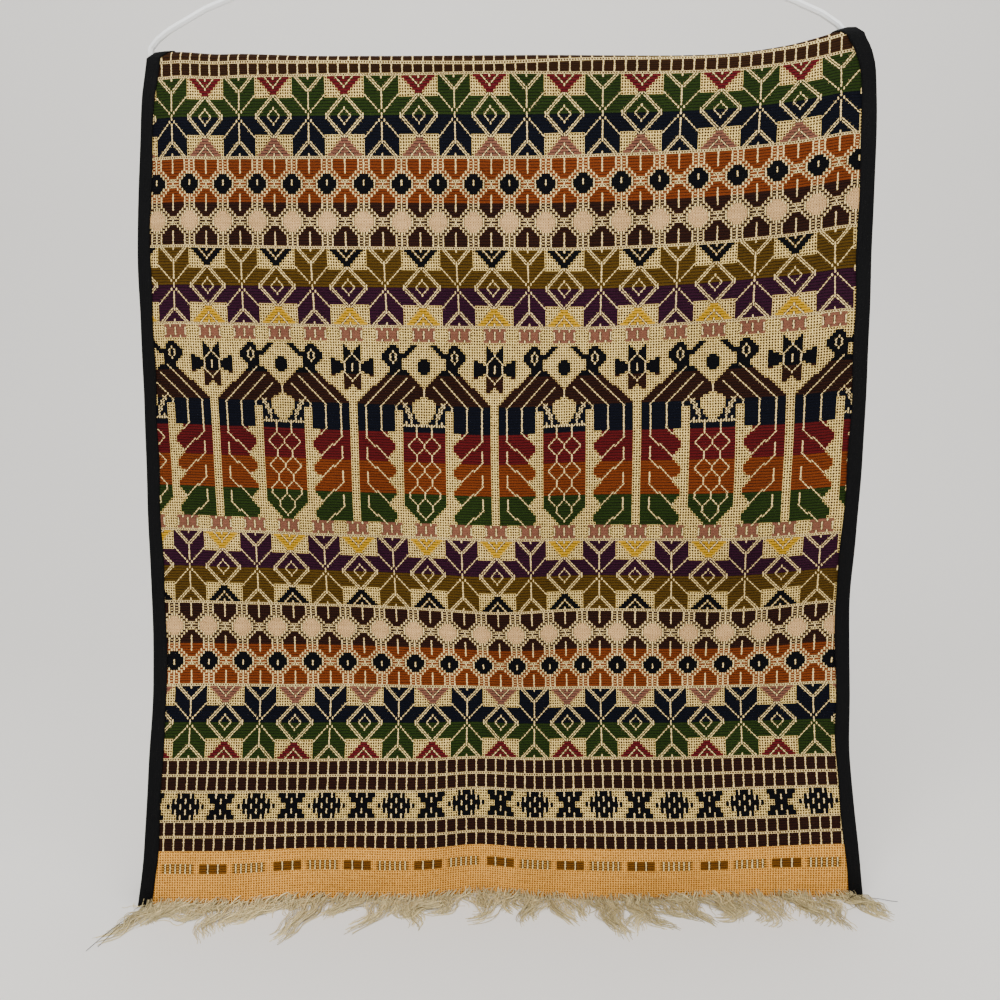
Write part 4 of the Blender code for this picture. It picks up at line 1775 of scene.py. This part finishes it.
@dataclass
class WarpFringe:
    """Cut warp ends that lie on the floor in locks, in front of or behind the hem."""

    drape: Drape
    front: bool
    locks: int
    seed: int
    finish: FringeFinish
    strands_per_lock: int = 34
    loose_ends: int = 600
    reach_mm: float = 40.0
    steps: int = 12

    def build(self, groups: dict) -> bpy.types.Object:
        """All the ends as one piece.

        Args:
            groups: The shader node groups by name.

        Returns:
            The fringe.
        """
        rng = random.Random(self.seed)
        bundle = YarnBundle()
        leans = Curve.column(LEANS, 1)
        for k in range(self.locks):
            v = 0.004 + 0.992 * (k + rng.uniform(0.1, 0.9)) / self.locks
            lean = float(leans(np.array(v))) + rng.uniform(-26, 26)
            self.add_lock(v, math.radians(lean), rng, bundle)
        for _ in range(self.loose_ends):
            v = rng.uniform(0.01, 0.99)
            lean = float(leans(np.array(v))) + rng.uniform(-80, 80)
            path = self.course(rng.uniform(4, 22), math.radians(lean), rng.uniform(-1.6, 1.6), rng)
            self.add_strand(v, v, path, 0.0, rng, bundle)
        name = "fringe_front" if self.front else "fringe_back"
        piece = bundle.piece(name + "_ends", self.finish.material(groups))
        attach(piece, BODY)
        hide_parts(name)
        return piece

    def course(self, reach: float, lean: float, curl: float, rng: random.Random) -> np.ndarray:
        """Path over the floor that leaves at an angle and curls: x and distance forward.

        Args:
            reach: Length of the path.
            lean: Angle at which it leaves the hem, in radians.
            curl: How far it turns by its end.
            rng: Source of its small differences.

        Returns:
            Sideways travel and distance forward at each step.
        """
        wave = rng.uniform(0.3, 1.0)
        turns = rng.uniform(0.9, 2.4)
        phase = rng.uniform(0, math.tau)
        x, forward, path = 0.0, 0.0, [(0.0, 0.0)]
        for k in range(self.steps):
            t = (k + 0.5) / self.steps
            heading = lean + curl * t * t + wave * math.sin(phase + math.tau * turns * t)
            x += math.sin(heading) * reach / self.steps
            forward += math.cos(heading) * reach / self.steps
            path.append((x, forward))
        return np.array(path)

    def add_lock(self, v: float, lean: float, rng: random.Random, bundle: YarnBundle) -> None:
        """One lock of strands that start along a short stretch of hem and draw together.

        Args:
            v: Where its middle leaves the hem, 0 to 1 across.
            lean: Angle at which it leaves, in radians.
            rng: Source of its small differences.
            bundle: The mesh that it joins.
        """
        path = self.course(self.reach_mm * rng.uniform(0.5, 1.15), lean, rng.uniform(-1.8, 1.8), rng)
        gather = rng.uniform(0.6, 0.92)
        width = rng.uniform(1.3, 2.1) / self.locks
        for _ in range(self.strands_per_lock):
            place = min(max(v + rng.uniform(-0.5, 0.5) * width, 0.003), 0.997)
            length = rng.uniform(0.72, 1.12)
            own = self.course(4.5, rng.uniform(-3, 3), rng.uniform(-3, 3), rng)
            self.add_strand(place, v, path * length + own, gather, rng, bundle)

    def add_strand(
        self,
        place: float,
        centre: float,
        path: np.ndarray,
        gather: float,
        rng: random.Random,
        bundle: YarnBundle,
    ) -> None:
        """One warp end along a path, drawn towards its lock's own line.

        Args:
            place: Where it leaves the hem, 0 to 1 across.
            centre: Where the middle of its lock leaves the hem.
            path: Sideways travel and distance forward at each step.
            gather: How far it draws in, 0 to 1.
            rng: Source of its small differences.
            bundle: The mesh that it joins.
        """
        s = ARC_LENGTH + HEM_DROP - 6.0 * rng.uniform(0.0, 1.0) ** 2
        facing = -1.0 if self.front else 1.0
        ends = self.drape.at(np.array([place, centre]), np.array([s, s]) * -facing)
        root, middle = ends
        t = np.linspace(0, 1, len(path))
        drawn = (middle[:2] - root[:2]) * (gather * ease(t * 1.25 - 0.12))[:, None]
        mound = rng.uniform(0.3, 3.4) * np.sin(math.pi * np.clip(t * 1.15, 0, 1)) ** 1.5
        x = root[0] + path[:, 0] + drawn[:, 0]
        y = root[1] + facing * (1.0 + path[:, 1]) + drawn[:, 1]
        fall = (root[2] - FLOOR) * (1 - ease(t * 4))
        z = FLOOR + 0.3 + fall + mound * rng.uniform(0.3, 1.0)
        bundle.add(np.stack([x, y, z], axis=1), rng.uniform(0.17, 0.3), rng.uniform(0.15, 1.0))


# Black thread ends at the foot of the bindings: side, how far up, sideways travel and distance
# forward of the end, height of the loop between
THREAD_ENDS = (
    (0, 0.5, -17.0, 46.0, 1.5),
    (0, 1.0, -12.0, 42.0, 1.2),
    (0, 2.0, 7.0, 5.0, 5.0),
    (0, 6.0, -6.0, 4.0, 3.0),
    (0, 3.0, 4.0, 9.0, 3.0),
    (0, 9.0, 9.0, 3.0, 2.0),
    (1, 0.5, 24.0, 4.0, 2.0),
    (1, 3.0, -9.0, 5.0, 5.0),
    (1, 7.0, 6.0, 4.0, 3.0),
    (1, 10.0, -6.0, 3.0, 4.0),
    (1, 2.0, 12.0, 9.0, 1.5),
)


@dataclass
class BindingThreads:
    """Frayed sewing thread at the lower ends of both bindings."""

    drape: Drape
    finish: TapeFinish

    def build(self, groups: dict) -> bpy.types.Object:
        """All the thread ends as one piece.

        Args:
            groups: The shader node groups by name.

        Returns:
            The thread ends.
        """
        bundle = YarnBundle(sides=4)
        for side, up, across, forward, loop in THREAD_ENDS:
            s = np.array([ARC_LENGTH + HEM_DROP - up])
            root = self.drape.at(np.array([0.994 if side else 0.006]), s)[0]
            t = np.linspace(0, 1, 15)
            bend = np.sin(math.pi * t)
            x = root[0] + across * t + 0.25 * loop * np.sin(math.tau * t)
            y = root[1] - 2.6 - forward * t**1.2 - 0.3 * loop * bend
            z = FLOOR + 0.3 + up * (1 - ease(t * 1.6)) + 0.5 * loop * bend**2
            bundle.add(np.stack([x, y, z], axis=1), 0.2, 0.5)
        piece = bundle.piece("binding_threads", self.finish.material(groups))
        piece.data.uv_layers.new(name="cells")
        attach(piece, BODY)
        return piece


@dataclass
class CoatedHanger:
    """The wire hanger that carries the cloth."""

    finish: WireFinish

    def dress(self) -> bpy.types.Object:
        """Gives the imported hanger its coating.

        Returns:
            The hanger's own node.
        """
        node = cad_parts["hanger"]
        node.data.materials.clear()
        node.data.materials.append(self.finish.material())
        return node


@dataclass
class Studio:
    """Floor, light and camera."""

    camera_y: float = -0.600
    camera_z: float = -0.372
    pitch_degrees: float = 7.6
    floor_colour: str = "e6e3de"

    def build(self) -> None:
        """Builds the floor with its backdrop, the lights and the camera."""
        self.floor()
        self.light("key", (-0.5, -1.5, 1.1), 1.2, 44.0)
        self.light("fill", (1.2, -1.4, 0.2), 1.6, 15.0)
        self.light("top", (0.0, -0.25, 1.3), 1.4, 26.0)
        world = bpy.data.worlds.new("pale_room")
        world.use_nodes = True
        backdrop = world.node_tree.nodes["Background"]
        backdrop.inputs["Color"].default_value = (*srgb("e4e6e8"), 1.0)
        backdrop.inputs["Strength"].default_value = 0.55
        bpy.context.scene.world = world
        data = bpy.data.cameras.new("camera")
        data.lens = 36.0
        data.sensor_width = 36.0
        data.clip_start = 0.02
        camera = bpy.data.objects.new("camera", data)
        camera.location = (0.0, self.camera_y, self.camera_z)
        camera.rotation_euler = (math.radians(90 - self.pitch_degrees), 0.0, 0.0)
        bpy.context.scene.collection.objects.link(camera)
        bpy.context.scene.camera = camera

    def floor(self) -> None:
        """One sheet of pale board that curves up behind the object."""
        profile = [(-3.0, 0.0), (0.5, 0.0)]
        bend = 0.6
        for k in range(1, 13):
            angle = math.pi / 2 * k / 12
            profile.append((0.5 + bend * math.sin(angle), bend * (1 - math.cos(angle))))
        profile.append((0.5 + bend, 4.0))
        points = []
        for y, z in profile:
            for x in (-5.0, 5.0):
                points.append((x / MM, y / MM, z / MM + FLOOR))
        faces = []
        for k in range(len(profile) - 1):
            faces.append((2 * k, 2 * k + 1, 2 * k + 3, 2 * k + 2))
        tree, shader, material = start_material("pale_board")
        shader.inputs["Base Color"].default_value = (*srgb(self.floor_colour), 1.0)
        shader.inputs["Roughness"].default_value = 0.7
        board = mesh_object("floor", np.array(points), faces, material)
        board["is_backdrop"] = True

    def light(self, name: str, place: tuple, size: float, power: float) -> None:
        """Large soft lamp aimed at the middle of the cloth.

        Args:
            name: Name of the lamp.
            place: Where it stands, in metres.
            size: Side of its square, in metres.
            power: Strength in watts.
        """
        data = bpy.data.lights.new(name, "AREA")
        data.size = size
        data.energy = power
        lamp = bpy.data.objects.new(name, data)
        lamp.location = place
        aim = Vector((0.0, 0.0, -0.45)) - Vector(place)
        lamp.rotation_euler = aim.to_track_quat("-Z", "Y").to_euler()
        bpy.context.scene.collection.objects.link(lamp)


def main() -> None:
    """Builds every sub-assembly in order."""
    logging.basicConfig(level=logging.INFO, format="%(name)s: %(message)s")
    groups = {"woven_cells": woven_cells_group(), "yarn_mottle": yarn_mottle_group()}
    drape = Drape()
    chart = Chart()
    sheets = BrocadeCloth(drape, chart, Lattice(chart), ClothFinish()).build(groups)
    tapes = [EdgeBinding(drape, side, TapeFinish(f"black_tape_{side}")).build(groups) for side in (0, 1)]
    BindingThreads(drape, TapeFinish("sewing_thread")).build(groups)
    front = WarpFringe(drape, True, 44, 11, FringeFinish("warp_front")).build(groups)
    back = WarpFringe(
        drape, False, 36, 23, FringeFinish("warp_back"), strands_per_lock=16, loose_ends=60
    ).build(groups)
    CoatedHanger(WireFinish()).dress()
    Studio().build()
    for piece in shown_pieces():
        LOG.info("%s: %d faces", piece.name, len(piece.data.polygons))


if __name__ == "__main__":
    main()
